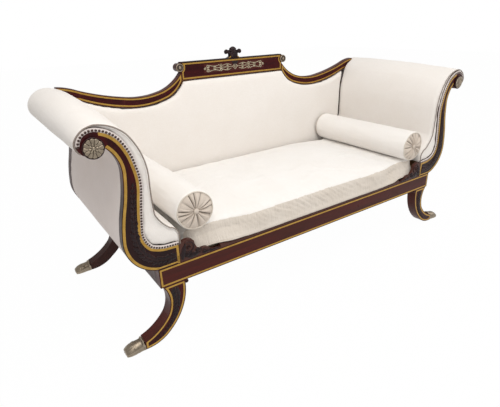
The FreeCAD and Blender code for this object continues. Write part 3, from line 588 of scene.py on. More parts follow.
# Painted shade in the creases of the squab's boxing.
boxing_cloth = cloth("boxing_linen", (0.75, 0.69, 0.62), (0.58, 0.50, 0.41), soil=0.4, creases=0.3,
                     fine_wrinkles=True)
bolster_cloth = cloth("bolster_linen", (0.90, 0.875, 0.845), (0.80, 0.74, 0.67), soil=0.28, slub=0.25)
cord_cloth = cloth("cord_linen", (0.72, 0.66, 0.58), (0.55, 0.48, 0.40), soil=0.35)
platform_cloth = cloth("platform_cloth", (0.48, 0.42, 0.34), (0.34, 0.28, 0.21), soil=0.5)
jute = cloth("jute_webbing", (0.40, 0.29, 0.17), (0.24, 0.16, 0.09), thread=700.0, slub=0.6)
piping_cloth = cloth("piping_cloth", (0.30, 0.25, 0.215), (0.20, 0.16, 0.14), soil=0.4)


def panel_figure():
    """The inlaid ornament: pale greyed gold."""
    look = Look("marquetry_figure")
    grain = look.noise(90.0, 5.0, 0.6, (0.3, 1.0, 1.0))
    base = look.ramp(grain, [(0.30, (0.26, 0.215, 0.135)), (0.55, (0.42, 0.365, 0.25)),
                             (0.75, (0.54, 0.48, 0.35))])
    look.colour(base)
    look.rough(look.span(grain, 0.3, 0.7, 0.34, 0.5))
    look.bump([(grain, 0.15, 0.0003)])
    return look.material


marquetry_figure = panel_figure()

NODE_LOOKS = {
    "front_seat_rail": wood_along, "rear_seat_rail": wood_back, "front_rail_cap": carved,
    "end_rail": wood_back_up, "seat_cross_rails": beech, "corner_blocks": beech,
    "front_leg": wood_up, "rear_leg": wood_back_up, "front_arm_facing": wood_facing,
    "rear_arm_facing": wood_back_up, "arm_rails": beech, "rail_bracket": carved,
    "crest_tablet": wood_along, "swept_rail": wood_along, "crest_roll": carved,
    "back_stiles": beech, "back_lower_rail": beech, "front_rail_inlay": brass_line,
    "front_leg_inlay": brass_line, "facing_inlay": brass_line, "tablet_inlay": brass_line,
    "swept_rail_inlay": brass_line, "crest_marquetry": wood_along, "arm_nails": bronze,
    "scroll_rosette": cast_brass, "front_paw_cap": cast_brass, "rear_paw_cap": cast_brass,
    "crest_finial": carved, "long_webbing": jute, "cross_webbing": jute,
    "seat_platform": platform_cloth, "arm_pad": cream, "arm_outside_panel": outside_cloth,
    "arm_piping": piping_cloth, "back_pad": cream, "back_board": outside_cloth,
    "seat_cushion": squab_cloth, "bolster": cream, "bolster_buttons": bolster_end_cloth,
}

for name, node in nodes.items():
    bare = name.replace("left_", "").replace("right_", "")
    node.data.materials.clear()
    node.data.materials.append(NODE_LOOKS[bare])


# Soft pieces made from the part's own solids

WELD = 0.00002


def cloth_copy(node_name, name, material, voxel, shrink=0.0, relax=4):
    """A remeshed copy of a node's shape, drawn in a little and smoothed."""
    source = nodes[node_name]
    mesh = source.data.copy()
    mesh.name = name
    piece = placed(name, mesh)
    bm = bmesh.new()
    bm.from_mesh(mesh)
    bmesh.ops.remove_doubles(bm, verts=bm.verts, dist=WELD)
    bm.to_mesh(mesh)
    bm.free()
    mesh.materials.clear()
    mesh.materials.append(material)
    evened(piece, voxel, relax)
    if shrink:
        shift_points(piece, lambda point, normal: -shrink)
    return piece


def applied(piece):
    """Works a piece's modifiers into its mesh for good."""
    baked = bpy.data.meshes.new_from_object(piece.evaluated_get(bpy.context.evaluated_depsgraph_get()))
    piece.modifiers.clear()
    piece.data = baked
    return baked


def evened(piece, voxel, relax):
    """Melts a closed mesh or a heap of closed shapes into one skin of even faces."""
    material = piece.data.materials[0]
    remesh = piece.modifiers.new("even_mesh", "REMESH")
    remesh.mode = "VOXEL"
    remesh.voxel_size = voxel
    smooth = piece.modifiers.new("soften", "SMOOTH")
    smooth.factor = 0.5
    smooth.iterations = relax
    baked = applied(piece)
    baked.materials.clear()
    baked.materials.append(material)
    shade(baked)


def shift_points(piece, amount):
    """Moves every point along its normal by amount(point, normal), in metres."""
    mesh = piece.data
    normals = [v.normal.copy() for v in mesh.vertices]
    for vertex, normal in zip(mesh.vertices, normals):
        vertex.co += normal * amount(vertex.co, normal)
    mesh.update()


def swell(piece, cap, frames=20, pressure=4.0):
    """Inflates a closed piece as stuffed cloth, then holds every point within cap of where it was."""
    before = np.array([v.co for v in piece.data.vertices])
    cloth_modifier = piece.modifiers.new("stuffing", "CLOTH")
    settings = cloth_modifier.settings
    settings.use_pressure = True
    settings.uniform_pressure_force = pressure
    settings.effector_weights.gravity = 0.0
    settings.quality = 5
    settings.mass = 0.3
    settings.tension_stiffness = 12.0
    settings.compression_stiffness = 12.0
    cloth_modifier.point_cache.frame_start = 1
    cloth_modifier.point_cache.frame_end = frames
    scene = bpy.context.scene
    for number in range(1, frames + 1):
        scene.frame_set(number)
    done = piece.evaluated_get(bpy.context.evaluated_depsgraph_get())
    after = np.array([v.co for v in done.data.vertices])
    piece.modifiers.clear()
    scene.frame_set(1)
    shift = after - before
    length = np.linalg.norm(shift, axis=1)
    shift *= np.minimum(1.0, cap / np.maximum(length, 1e-9))[:, None]
    piece.data.vertices.foreach_set("co", (before + shift).ravel())
    piece.data.update()


def divided(piece):
    """Cuts every face in four for good, smoothing as it goes, so that fine folds have points to stand on."""
    subdivided(piece)
    applied(piece)


def subdivided(piece):
    """One level of subdivision, left on the piece."""
    made = piece.modifiers.new("finish", "SUBSURF")
    made.levels = 1
    made.render_levels = 1


def waves(point, scale, seed):
    """Smooth noise from about -1 to 1, with scale swells to a metre."""
    return noise.noise(Vector(point) * scale + Vector((seed, 0.37 * seed, 1.7 * seed)))


def folds(point, way, pitch, seed, sharp=2.0):
    """Narrow soft ridges across the direction way, broken up by noise: 0 to 1."""
    drift = 1.6 * waves(point, 7.0, seed)
    phase = point.dot(way) / pitch + drift
    ridge = 0.5 + 0.5 * math.cos(2 * math.pi * phase)
    patch = max(0.0, 0.5 + 1.3 * waves(point, 5.0, seed + 11.0))
    return ridge ** sharp * min(1.0, patch)


# Camera

camera_place = (-1.245, -1.6065, 1.137)
azimuth, elevation, roll = (math.radians(a) for a in (34.01, -23.92, -1.87))
camera_data = bpy.data.cameras.new("photo_camera")
camera_data.lens = 29.21
camera_data.sensor_width = 36.0
camera_data.sensor_fit = "HORIZONTAL"
camera_data.clip_end = 60.0
camera = placed("photo_camera", camera_data)
bpy.context.scene.camera = camera
ahead = Vector((math.sin(azimuth) * math.cos(elevation), math.cos(azimuth) * math.cos(elevation),
                math.sin(elevation)))
level_right = ahead.cross(Vector((0, 0, 1))).normalized()
level_up = level_right.cross(ahead)
view_right = math.cos(roll) * level_right + math.sin(roll) * level_up
view_up = -math.sin(roll) * level_right + math.cos(roll) * level_up
camera.matrix_world = Matrix.Translation(camera_place) @ Matrix(
    (view_right, view_up, -ahead)).transposed().to_4x4()


# Light, floor and backdrop

def lamp(name, place, target, size, power, tint=(1.0, 1.0, 1.0)):
    data = bpy.data.lights.new(name, "AREA")
    data.shape = "DISK"
    data.size = size
    data.energy = power
    data.color = tint
    made = placed(name, data)
    made.location = place
    made.rotation_mode = "QUATERNION"
    made.rotation_quaternion = (Vector(target) - Vector(place)).to_track_quat("-Z", "Y")


def seen_share(tree, amount):
    """amount for the rays of the camera, of mirrors and of glass, and 0 for light on the object."""
    path = add_node(tree, "ShaderNodeLightPath")
    total = path.outputs["Is Camera Ray"]
    for output in ("Is Glossy Ray", "Is Transmission Ray"):
        inputs = {0: total, 1: path.outputs[output]}
        total = add_node(tree, "ShaderNodeMath", inputs, operation="MAXIMUM").outputs[0]
    return add_node(tree, "ShaderNodeMath", {0: total, 1: amount}, operation="MULTIPLY").outputs[0]


fill_strength = 0.57
key_power = 70.0
right_power = 18.0
floor_glow = 0.985

world = bpy.data.worlds.new("studio")
bpy.context.scene.world = world
world.use_nodes = True
world_tree = world.node_tree
fill_light = world_tree.nodes["Background"]
fill_light.inputs["Color"].default_value = (1.0, 0.985, 0.97, 1.0)
fill_light.inputs["Strength"].default_value = fill_strength
white_sky = add_node(world_tree, "ShaderNodeBackground", {"Color": (1.0, 1.0, 1.0, 1.0), "Strength": 1.0})
sky_path = add_node(world_tree, "ShaderNodeLightPath")
sky_mix = add_node(world_tree, "ShaderNodeMixShader", {
    "Fac": sky_path.outputs["Is Camera Ray"], 1: fill_light.outputs[0], 2: white_sky.outputs[0]})
world_tree.links.new(sky_mix.outputs[0], world_tree.nodes["World Output"].inputs["Surface"])

lamp("key", (-0.6, -1.6, 3.4), (0.1, 0.1, 0.4), 2.6, key_power, (1.0, 0.985, 0.965))
lamp("right_fill", (3.4, -1.4, 1.8), (0.2, 0.0, 0.5), 1.8, right_power)


def white_floor():
    """A white floor to the camera that still takes the object's shadow."""
    material = bpy.data.materials.new("floor_white")
    material.use_nodes = True
    tree = material.node_tree
    base = tree.nodes["Principled BSDF"]
    base.inputs["Base Color"].default_value = (0.86, 0.86, 0.86, 1.0)
    base.inputs["Roughness"].default_value = 0.9
    glow = add_node(tree, "ShaderNodeEmission", {"Strength": 1.0})
    mix = add_node(tree, "ShaderNodeMixShader", {
        "Fac": seen_share(tree, floor_glow), 1: base.outputs[0], 2: glow.outputs[0]})
    tree.links.new(mix.outputs[0], tree.nodes["Material Output"].inputs["Surface"])
    return material


floor_mesh = bpy.data.meshes.new("floor")
reach = 14
floor_mesh.from_pydata([(-reach, -reach, 0), (reach, -reach, 0), (reach, reach, 0), (-reach, reach, 0)], [],
                       [(0, 1, 2, 3)])
floor_mesh.materials.append(white_floor())
placed("floor", floor_mesh)

bpy.context.scene.view_settings.view_transform = "Standard"


# Arm and back upholstery

def upholstery(node_name, name, voxel, depth, seed):
    """Tight stuffing over a frame: the solid's own form, softened and gently uneven."""
    piece = cloth_copy(node_name, name, cream, voxel)
    swell(piece, depth, 8)
    shift_points(piece, lambda point, normal: 0.0011 * waves(point, 9.0, seed)
                 + 0.0005 * waves(point, 34.0, seed + 3.0) - 0.0004)
    subdivided(piece)
    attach(piece, "frame")
    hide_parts(node_name)
    return piece


upholstery("left_arm_pad", "left_arm_upholstery", 0.008, 0.0022, 3.0)
upholstery("right_arm_pad", "right_arm_upholstery", 0.008, 0.0022, 8.0)
upholstery("back_pad", "back_upholstery", 0.011, 0.0026, 14.0)


bolster_low, bolster_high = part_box("right_bolster")
button_low, button_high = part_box("right_bolster_buttons")
bolster_x = (bolster_low.x + bolster_high.x) / 2
bolster_z = (bolster_low.z + bolster_high.z) / 2
bolster_radius = (bolster_high.x - bolster_low.x) / 2
squab_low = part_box("seat_cushion")[0]
back_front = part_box("back_pad")[0].y


def wrinkle(point, normal):
    """Fine slanting creases on the boxing and faint wide folds on the top of the squab."""
    front = max(0.0, -normal.y)
    up = max(0.0, normal.z)
    slant = Vector((0.58, 0.0, 0.81))
    fine = folds(point, slant, 0.019, 5.0, 1.5)
    coarse = folds(point, Vector((0.72, 0.0, 0.69)), 0.052, 9.0, 2.5)
    boxing = front * (0.0022 * fine + 0.0042 * coarse - 0.0016)
    drift = Vector((0.35, 0.94, 0.0))
    top = up * (0.0030 * folds(point, drift, 0.085, 21.0, 3.0) + 0.0045 * waves(point, 3.2, 31.0)
                + 0.0012 * waves(point, 17.0, 37.0))
    return boxing + top


# The squab's front: it hangs over the rail at its foot, and is drawn back behind the carved brackets
bracket_low, bracket_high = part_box("right_rail_bracket")
bracket_start = bracket_low.x
bracket_back = bracket_high.y + 0.001
bracket_gap = 0.004
bracket_top = bracket_high.z + bracket_gap
foot_front = squab_low.y + 0.007
foot_height = 0.045
foot_back = bracket_back + 0.001
draw_start = bracket_start - 0.090
draw_length = 0.125
seam_height = 0.086
bracket_points = np.array(sorted((v.co.x, v.co.z) for v in nodes["right_rail_bracket"].data.vertices))
bracket_line = np.maximum.accumulate(bracket_points[:, 1])


def keep_behind_bracket(place):
    """Keeps a point of the squab behind the bracket, up to the bracket's own top line."""
    across = abs(place.x)
    if across < bracket_start - bracket_gap or place.z > bracket_top:
        return
    if place.z < np.interp(across, bracket_points[:, 0], bracket_line) + bracket_gap:
        place.y = max(place.y, bracket_back)


def keep_clear(piece, side_x, drop):
    """Pushes the squab's top down round a bolster that lies on it."""
    for vertex in piece.data.vertices:
        away = Vector((vertex.co.x - side_x, 0.0, vertex.co.z - bolster_z))
        if away.length < bolster_radius + drop and vertex.co.z < bolster_z:
            reach = math.sqrt(max(0.0, (bolster_radius + drop) ** 2 - away.x ** 2))
            vertex.co.z = min(vertex.co.z, bolster_z - reach)


def ease_notches(piece):
    """Softens the squab's front where its solid steps back for the brackets."""
    bm = bmesh.new()
    bm.from_mesh(piece.data)
    near = [v for v in bm.verts if abs(abs(v.co.x) - bracket_start) < 0.05 and v.co.y < squab_low.y + 0.06
            and squab_low.z + 0.002 < v.co.z < bracket_top + 0.03]
    for _ in range(4):
        bmesh.ops.smooth_vert(bm, verts=near, factor=0.5, use_axis_x=True, use_axis_y=True, use_axis_z=True)
        for vertex in near:
            keep_behind_bracket(vertex.co)
    bm.to_mesh(piece.data)
    bm.free()


def make_squab():
    """The feather squab: swollen, creased, its foot drawn over the rail's edge and behind the brackets."""
    piece = cloth_copy("seat_cushion", "squab", squab_cloth, 0.0085, shrink=0.0045, relax=3)
    swell(piece, 0.007, 14)
    divided(piece)
    shift_points(piece, wrinkle)
    ease_notches(piece)
    for vertex in piece.data.vertices:
        place = vertex.co
        place.z = max(place.z, squab_low.z)
        place.y = min(place.y, back_front - 0.0012)
        place.y = max(place.y, squab_low.y - 0.006)
        low_share = min(1.0, max(0.0, 1.25 - (place.z - squab_low.z) / foot_height))
        end_share = min(1.0, max(0.0, (abs(place.x) - draw_start) / draw_length))
        end_share *= end_share * (3.0 - 2.0 * end_share)
        front = foot_front + end_share * (foot_back - foot_front)
        if place.y < front + foot_height:
            place.y += low_share * (front - place.y)
        keep_behind_bracket(place)
    for side in (-1, 1):
        keep_clear(piece, side * bolster_x, 0.0008)
    piece.data.materials.append(boxing_cloth)
    for polygon in piece.data.polygons:
        seam = squab_low.z + seam_height + 0.003 * waves((polygon.center.x, 0, 0), 9.0, 41.0)
        if polygon.center.z < seam and polygon.center.y < bracket_back + 0.03:
            polygon.material_index = 1
    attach(piece, "squab")
    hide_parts("seat_cushion")
    return piece


squab = make_squab()


SEWN_CORD_RADIUS = 0.0024
RIM_CORD_RADIUS = 0.0026


def squab_cord():
    """The thin sewn cord along the foot of the squab's front boxing."""
    form = Form()
    data = np.array([v.co for v in squab.data.vertices])
    reach = 0.66
    step = 0.012
    path = []
    for x in np.arange(-reach, reach + 0.0001, step):
        near = data[(abs(data[:, 0] - x) < 0.008) & (data[:, 2] < squab_low.z + 0.012)]
        y = near[:, 1].min()
        path.append((x, y + 0.001, squab_low.z + 0.0055 + 0.0008 * waves((x, 0, 0), 30.0, 2.0)))
    path = np.array(path)
    for _ in range(2):
        path[1:-1] = 0.25 * path[:-2] + 0.5 * path[1:-1] + 0.25 * path[2:]
    form.tube(path, [SEWN_CORD_RADIUS] * len(path), 8)
    form.piece("squab_cord", cord_cloth, "cream_cover", body="squab")


squab_cord()


# Bolsters

PLEATS = 13
BOLSTER_SIDES = 192
BUTTON_PROFILE = [(0.2, 0.0052), (3.5, 0.0050), (7.0, 0.0042), (9.6, 0.0024), (10.8, 0.0), (10.2, -0.0022),
                  (7.5, -0.0032), (0.2, -0.0034)]


def pleat_height(angle, seed):
    """0 in a pleat's fold to 1 on its ridge, with folds of uneven width."""
    around = Vector((math.cos(angle), math.sin(angle), 0.0))
    turn = angle + 0.42 * noise.noise(around * 1.3 + Vector((0, 0, seed)))
    turn += 0.10 * noise.noise(around * 4.0 + Vector((0, 0, seed + 4)))
    depth = 0.62 + 0.9 * noise.noise(around * 3.0 + Vector((0, 0, seed + 9)))
    fold = abs(math.cos(0.5 * PLEATS * turn)) ** 1.15
    return 1.0 - (1.0 - fold) * min(1.0, max(0.25, depth + 0.35))


def bolster_points(x_centre, hand, seed):
    """Rows of rings from the front button's seat over the rim and along the roll to the rear one."""
    y0 = bolster_low.y + 0.004
    y1 = bolster_high.y - 0.004
    seat_radius = 0.0085
    face_width = bolster_radius - 0.0155
    rows = [("front", seat_radius + face_width * (k / 14)) for k in range(15)]
    rows += [("front_rim", k / 4) for k in range(1, 5)]
    rows += [("side", k / 46) for k in range(1, 46)]
    rows += [("rear_rim", 1 - k / 4) for k in range(4)]
    rows += [("rear", seat_radius + face_width * (1 - k / 14)) for k in range(15)]
    points = []
    rim_r = bolster_radius - 0.007
    for kind, value in rows:
        for angle in whole_turn(BOLSTER_SIDES):
            place = Vector((math.cos(angle), math.sin(angle), 0.0))
            tight = pleat_height(angle, seed + (20.0 if "rear" in kind else 0.0))
            if kind in ("front", "rear"):
                share = value / rim_r
                dome = 0.0115 * math.sin(math.pi * min(1.0, share * 0.98)) ** 0.8
                depth = 0.0150 * min(1.0, max(0.0, (share - 0.10) / 0.22)) * (1 - 0.70 * share ** 5)
                depth *= 0.75 + 0.5 * noise.noise(Vector((3 * place.x, 3 * place.y, seed)))
                lift = dome + depth * (tight - 0.85) - 0.003
                y = y0 + 0.008 - lift if kind == "front" else y1 - 0.008 + lift
                r = value
            elif kind in ("front_rim", "rear_rim"):
                bow = math.sin(0.5 * math.pi * value)
                r = rim_r + 0.0065 * bow + 0.0006 * (tight - 0.5)
                y = 0.0105 + 0.012 * (1 - math.cos(0.5 * math.pi * value))
                y = y0 + y if kind == "front_rim" else y1 - y
            else:
                y = y0 + 0.0225 + (y1 - y0 - 0.045) * value
                gap = min(y - y0, y1 - y)
                r = bolster_radius - 0.0005 + 0.0012 * (tight - 0.6) * math.exp(-gap / 0.03)
                r += 0.0016 * noise.noise(Vector((2 * place.x, 2 * place.y, 5 * y + seed)))
                r += 0.0008 * noise.noise(Vector((5 * place.x, 5 * place.y, 14 * y + seed)))
            z = bolster_z + r * place.y
            z = max(z, bolster_low.z + 0.0004)
            points.append((x_centre + hand * r * place.x, y, z))
    return points, tube_faces(len(rows), BOLSTER_SIDES)


def make_bolster(side, hand, seed):
    """A bolster's cover with its gathered ends, the piped rims round them and their buttons."""
    body = side + "_bolster_roll"
    points, faces = bolster_points(hand * bolster_x, hand, seed)
    piece = new_piece(side + "_bolster_cover", points, faces, bolster_cloth,
                      side + "_bolster", body)
    piece.data.materials.append(bolster_end_cloth)
    end_radius = bolster_radius - 0.0065
    for polygon in piece.data.polygons:
        c = polygon.center
        away = math.hypot(c.x - hand * bolster_x, c.z - bolster_z)
        if away < end_radius and min(c.y - bolster_low.y, bolster_high.y - c.y) < 0.02:
            polygon.material_index = 1
    rims = Form()
    for y in (bolster_low.y + 0.0135, bolster_high.y - 0.0135):
        ring = []
        for angle in whole_turn(96) + [2 * math.pi]:
            wobble = 0.0006 * math.sin(7 * angle + seed)
            r = bolster_radius - 0.0052 + wobble
            z = max(bolster_z + r * math.sin(angle), bolster_low.z + 0.0032)
            ring.append((hand * bolster_x + hand * r * math.cos(angle), y + 0.5 * wobble, z))
        rims.tube(ring, [RIM_CORD_RADIUS] * len(ring), 8)
    rims.piece(side + "_bolster_rims", cord_cloth, "cream_cover", body=body)
    buttons = Form()
    for y, out in ((button_low.y + 0.004, -1), (button_high.y - 0.004, 1)):
        points = []
        for radius, rise in BUTTON_PROFILE:
            points += [(hand * bolster_x + radius * MM * math.cos(turn), y + out * rise,
                        bolster_z + radius * MM * math.sin(turn)) for turn in whole_turn(32)]
        buttons.add(points, tube_faces(len(BUTTON_PROFILE), 32))
    covered = buttons.piece(side + "_bolster_covered_buttons", bolster_end_cloth, "cream_cover",
                            side + "_bolster_buttons", body)


make_bolster("left", -1, 2.0)
make_bolster("right", 1, 7.0)


# Covers of the outside arms, the outside back and the seat's platform

LINEN = 0.0016


def outside_cover(side, hand, seed):
    """Linen stretched over the outside of the arm and tacked along its edges."""
    line = resampled(outer_edge(), 64)
    left = normals_2d(line)
    panel_low, panel_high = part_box("right_arm_outside_panel")
    y_rows = np.linspace(panel_low.y + 0.0005, panel_high.y - 0.0005, 60)
    curve, depth = 540, 686
    outer = []
    inner = []
    for i, (point, normal) in enumerate(zip(line, left)):
        s = i / (len(line) - 1)
        for j, y in enumerate(y_rows):
            t = j / (len(y_rows) - 1)
            edge = min(min(s, 1 - s) * curve, min(t, 1 - t) * depth)
            tacks = 0.5 * math.exp(-edge / 9.0) * math.sin((s * curve + t * depth) / 7.0)
            rise = 1.6 * math.sin(math.pi * s) ** 0.5 * math.sin(math.pi * t) ** 0.5 - 1.3
            rise += 0.6 * noise.noise(Vector((4 * s, 5 * t, seed))) + tacks
            x = (point[0] - normal[0] * rise) * MM
            z = (point[1] - normal[1] * rise) * MM
            outer.append((hand * x, y, z))
            inner.append((hand * (x + LINEN * normal[0]), y, z + LINEN * normal[1]))
    piece = new_piece(side + "_arm_outside_cover", outer + inner, sheet_faces(len(line), len(y_rows)),
                      outside_cloth, side + "_arm_outside_panel")


outside_cover("left", -1, 3.0)
outside_cover("right", 1, 6.0)


def crowned_face(node_name, axis, sign, pitch, crown, seed):
    """The outer face of a flat board, cut into a grid of pitch and raised by crown in its middle."""
    bm = bmesh.new()
    bm.from_mesh(nodes[node_name].data)
    bmesh.ops.remove_doubles(bm, verts=bm.verts, dist=WELD)
    limit = max(sign * v.co[axis] for v in bm.verts)
    away = [f for f in bm.faces if any(sign * v.co[axis] < limit - 0.0002 for v in f.verts)]
    bmesh.ops.delete(bm, geom=away, context="FACES")
    bmesh.ops.dissolve_limit(bm, angle_limit=0.01, verts=bm.verts, edges=bm.edges)
    others = [k for k in range(3) if k != axis]
    for k in others:
        low_k = min(v.co[k] for v in bm.verts)
        high_k = max(v.co[k] for v in bm.verts)
        normal = Vector((0, 0, 0))
        normal[k] = 1.0
        for place in np.arange(low_k + pitch, high_k - 0.2 * pitch, pitch):
            at = Vector((0, 0, 0))
            at[k] = place
            bmesh.ops.bisect_plane(bm, geom=bm.verts[:] + bm.edges[:] + bm.faces[:], plane_co=at,
                                   plane_no=normal, dist=1e-6)
    rim = [v.co.copy() for v in bm.verts if v.is_boundary]
    tree = kdtree.KDTree(len(rim))
    for index, place in enumerate(rim):
        tree.insert(place, index)
    tree.balance()
    for vertex in bm.verts:
        if not vertex.is_boundary:
            gap = tree.find(vertex.co)[2]
            rise = crown * (1 - math.exp(-gap / 0.05)) - 0.0006
            rise += 0.0007 * waves(vertex.co, 6.0, seed) + 0.0003 * waves(vertex.co, 30.0, seed)
            vertex.co[axis] += sign * rise
        else:
            vertex.co[axis] -= sign * 0.0008
    mesh = bpy.data.meshes.new(node_name + "_face")
    bm.to_mesh(mesh)
    bm.free()
    return mesh


def back_cover():
    mesh = crowned_face("back_board", 1, 1, 0.022, 0.0022, 4.0)
    piece = placed("back_outside_cover", mesh)
    mesh.materials.append(outside_cloth)
    shade(mesh)
    solid = piece.modifiers.new("cloth", "SOLIDIFY")
    solid.thickness = LINEN
    solid.offset = -1.0
    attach(piece, "frame")
    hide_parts("back_board")


back_cover()


def platform_pad():
    """The thin stuffed platform under the squab, quilted down by its twine."""
    low_p, high_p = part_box("seat_platform")
    cols, rows = 96, 44
    points = []
    for face in (0, 1):
        for i in range(rows):
            t = i / (rows - 1)
            for j in range(cols):
                s = j / (cols - 1)
                x = low_p.x + (high_p.x - low_p.x) * s
                y = low_p.y + (high_p.y - low_p.y) * t
                edge = min(1.0, 12 * min(s, 1 - s, t, 1 - t))
                if face == 0:
                    z = high_p.z - 0.0004 - 0.004 * (1 - edge) ** 2
                    z -= 0.0012 * abs(math.cos(s * 16 * math.pi) * math.cos(t * 8 * math.pi)) ** 6
                    z += 0.0005 * (waves((x, y, 0), 9.0, 3.0) - 0.8)
                else:
                    z = low_p.z + 0.0003 + 0.002 * (1 - edge) ** 2
                points.append((x, y, z))
    piece = new_piece("seat_platform_pad", points, sheet_faces(rows, cols), platform_cloth,
                      "seat_platform")


platform_pad()


def woven_straps():
    """Jute straps that pass over and under one another beneath the platform."""
    long_boxes = strap_centres("long_webbing", 1)
    cross_boxes = strap_centres("cross_webbing", 0)
    for name, axis, across in (("long_webbing", 0, long_boxes), ("cross_webbing", 1, cross_boxes)):
        low_w, high_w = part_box(name)
        other = cross_boxes if axis == 0 else long_boxes
        level = (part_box("long_webbing")[0].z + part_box("cross_webbing")[1].z) / 2
        half_width = 0.0275
        half_thickness = 0.0007
        weave_rise = 0.00095
        form = Form()
        for index, centre in enumerate(across):
            stations = np.linspace(low_w[axis], high_w[axis], 8 * len(other) + 1)
            points = []
            for place in stations:
                nearest = min(range(len(other)), key=lambda k: abs(other[k] - place))
                pitch = abs(other[1] - other[0])
                phase = (place - other[nearest]) / pitch
                sense = -1 if (index + nearest) % 2 else 1
                sense = sense if axis == 0 else -sense
                wave_height = weave_rise * sense * math.cos(math.pi * phase)
                for side, lift in ((-1, 1), (1, 1), (1, -1), (-1, -1)):
                    point = [0.0, 0.0, level + wave_height + half_thickness * lift]
                    point[axis] = place
                    point[1 - axis] = centre + half_width * side
                    points.append(tuple(point))
            form.add(points, tube_faces(len(stations), 4))
        new_piece(name.replace("webbing", "jute_straps"), form.points, form.faces, jute, name,
                  smooth=False)


def strap_centres(name, axis):
    """The middle of each strap of a webbing node, across its run."""
    edges = sorted({round(v.co[axis], 4) for v in nodes[name].data.vertices})
    return [(a + b) / 2 for a, b in zip(edges[0::2], edges[1::2])]


woven_straps()


def arm_piping():
    """A covered cord sewn round the front of the arm pad."""
    line = resampled(pad_front_line(), 150)
    left = normals_2d(line)
    centre = [(p[0] - 2.4 * n[0], p[1] - 2.4 * n[1]) for p, n in zip(line, left)][:-3]
    y = 1.2
    for side, hand in (("left", -1), ("right", 1)):
        form = Form()
        path = [spot(hand * x, y + 0.5 * math.sin(0.8 * k), z) for k, (x, z) in enumerate(centre)]
        form.tube(path, [SEWN_CORD_RADIUS] * len(path), 10)
        form.piece(side + "_arm_cord", piping_cloth, "dark_piping", side + "_arm_piping")


arm_piping()


# Carving

def vine(form, line, face_y, pitch=18.0, spread=38.0, rise=2.6):
    """A stem with pairs of leaves along a line of (x, z, half width) rows."""
    data = np.array(line, float)
    length = np.hypot(*np.diff(data[:, :2], axis=0).T).sum()
    count = max(3, int(length / pitch))
    stem = resampled(data, 3 * count)
    form.tube([spot(x, face_y - 0.6, z) for x, z, _ in stem],
              [MM * (0.8 + 0.09 * w) for _, _, w in stem], 8)
    rows = resampled(data, count + 1)
    way = np.gradient(rows[:, :2], axis=0)
    for i, (x, z, w) in enumerate(rows):
        heading = math.degrees(math.atan2(way[i][1], way[i][0]))
        if i == count:
            form.leaf((x, z), heading, 1.6 * w, 0.9 * w, rise, face_y, rows=11, cols=7)
            break
        for side in (-1, 1):
            turn = spread + 7.0 * math.sin(2.3 * i + side)
            form.leaf((x, z), heading + side * turn, 1.34 * w, 0.72 * w, rise, face_y,
                      bend=-26.0 * side, rows=11, cols=7)


def facing_carving():
    line = [(748, 361, 22), (790, 360, 23), (826, 366, 23), (859, 392, 23), (880, 430, 23), (889, 478, 22),
            (887, 525, 19), (883, 570, 16), (878, 615, 13), (871, 662, 10)]
    form = Form()
    vine(form, line, 0.0, rise=3.8)
    form.pair("facing_carving", carved, "rosewood")


def leg_carving():
    inner = rail_end - 99.0
    line = [(inner + 45, rail_bottom - 15, 26), (inner + 42, 0.76 * rail_bottom, 23),
            (inner + 44, 0.62 * rail_bottom, 20), (inner + 54, 0.46 * rail_bottom, 16),
            (inner + 76, 0.31 * rail_bottom, 13), (inner + 104, 0.20 * rail_bottom, 10)]
    form = Form()
    vine(form, line, leg_y, pitch=17.0, rise=3.4)
    form.scroll((inner - 6.4, rail_bottom - 8.0), 6.2, 1.6, 90, 1.7, leg_y, hand=-1)
    form.pair("leg_carving", carved, "rosewood")


def bracket_carving():
    face_y = (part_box("right_rail_bracket")[0].y - front_y) / MM
    form = Form()
    form.scroll((foot_end - 36, rail_top + 50), 27.0, 1.5, 60, 4.2, face_y, rise=7.0)
    form.leaf((foot_end - 8, rail_top + 6), 97, 72, 22, 5.0, face_y, bend=14)
    form.leaf((foot_end - 20, rail_top + 14), 128, 40, 18, 5.0, face_y, bend=40)
    form.leaf((foot_end - 28, rail_top + 12), 172, 58, 24, 5.0, face_y, bend=8)
    form.leaf((foot_end - 62, rail_top + 34), 205, 30, 15, 4.4, face_y, bend=-30)
    form.scroll((foot_end - 98, rail_top + 14), 11.0, 1.3, 40, 2.8, face_y, rise=4.4)
    form.leaf((foot_end - 92, rail_top + 8), 176, 46, 13, 4.0, face_y)
    form.leaf((foot_end - 122, rail_top + 6), 178, 48, 10, 3.4, face_y)
    form.pair("bracket_carving", carved, "rosewood")


def paws():
    """Lion's paws over the legs' ends: the cast shoe with its collar, toes, knuckles and claws."""
    toe_pitch = 13.0
    for row in ("front", "rear"):
        cap_low, cap_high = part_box("right_" + row + "_paw_cap")
        x1 = cap_high.x / MM
        mid = (cap_low.y + cap_high.y - 2 * front_y) / 2 / MM
        form = Form()
        source = nodes["right_" + row + "_paw_cap"].data
        form.add([v.co for v in source.vertices], [tuple(p.vertices) for p in source.polygons])
        for step in (-1.5, -0.5, 0.5, 1.5):
            y = mid + toe_pitch * step
            back = 3.0 * abs(step)
            form.bead((x1 - 16 - back, y, 10.0), (14.5, 7.0, 10.5))
            form.bead((x1 - 33 - back, y * 0.94 + mid * 0.06, 22.0), (12.0, 6.4, 7.5))
            form.bead((x1 - 3.0 - back, y, 4.5), (7.0, 3.2, 4.2))
        form.bead((x1 - 68, mid, 24.0), (6.5, 27.5, 20.5))
        for piece in form.pair(row + "_paw", cast_brass, "cast_brass", row + "_paw_cap"):
            evened(piece, 0.0017, 2)
            for vertex in piece.data.vertices:
                vertex.co.z = max(vertex.co.z, 0.0)


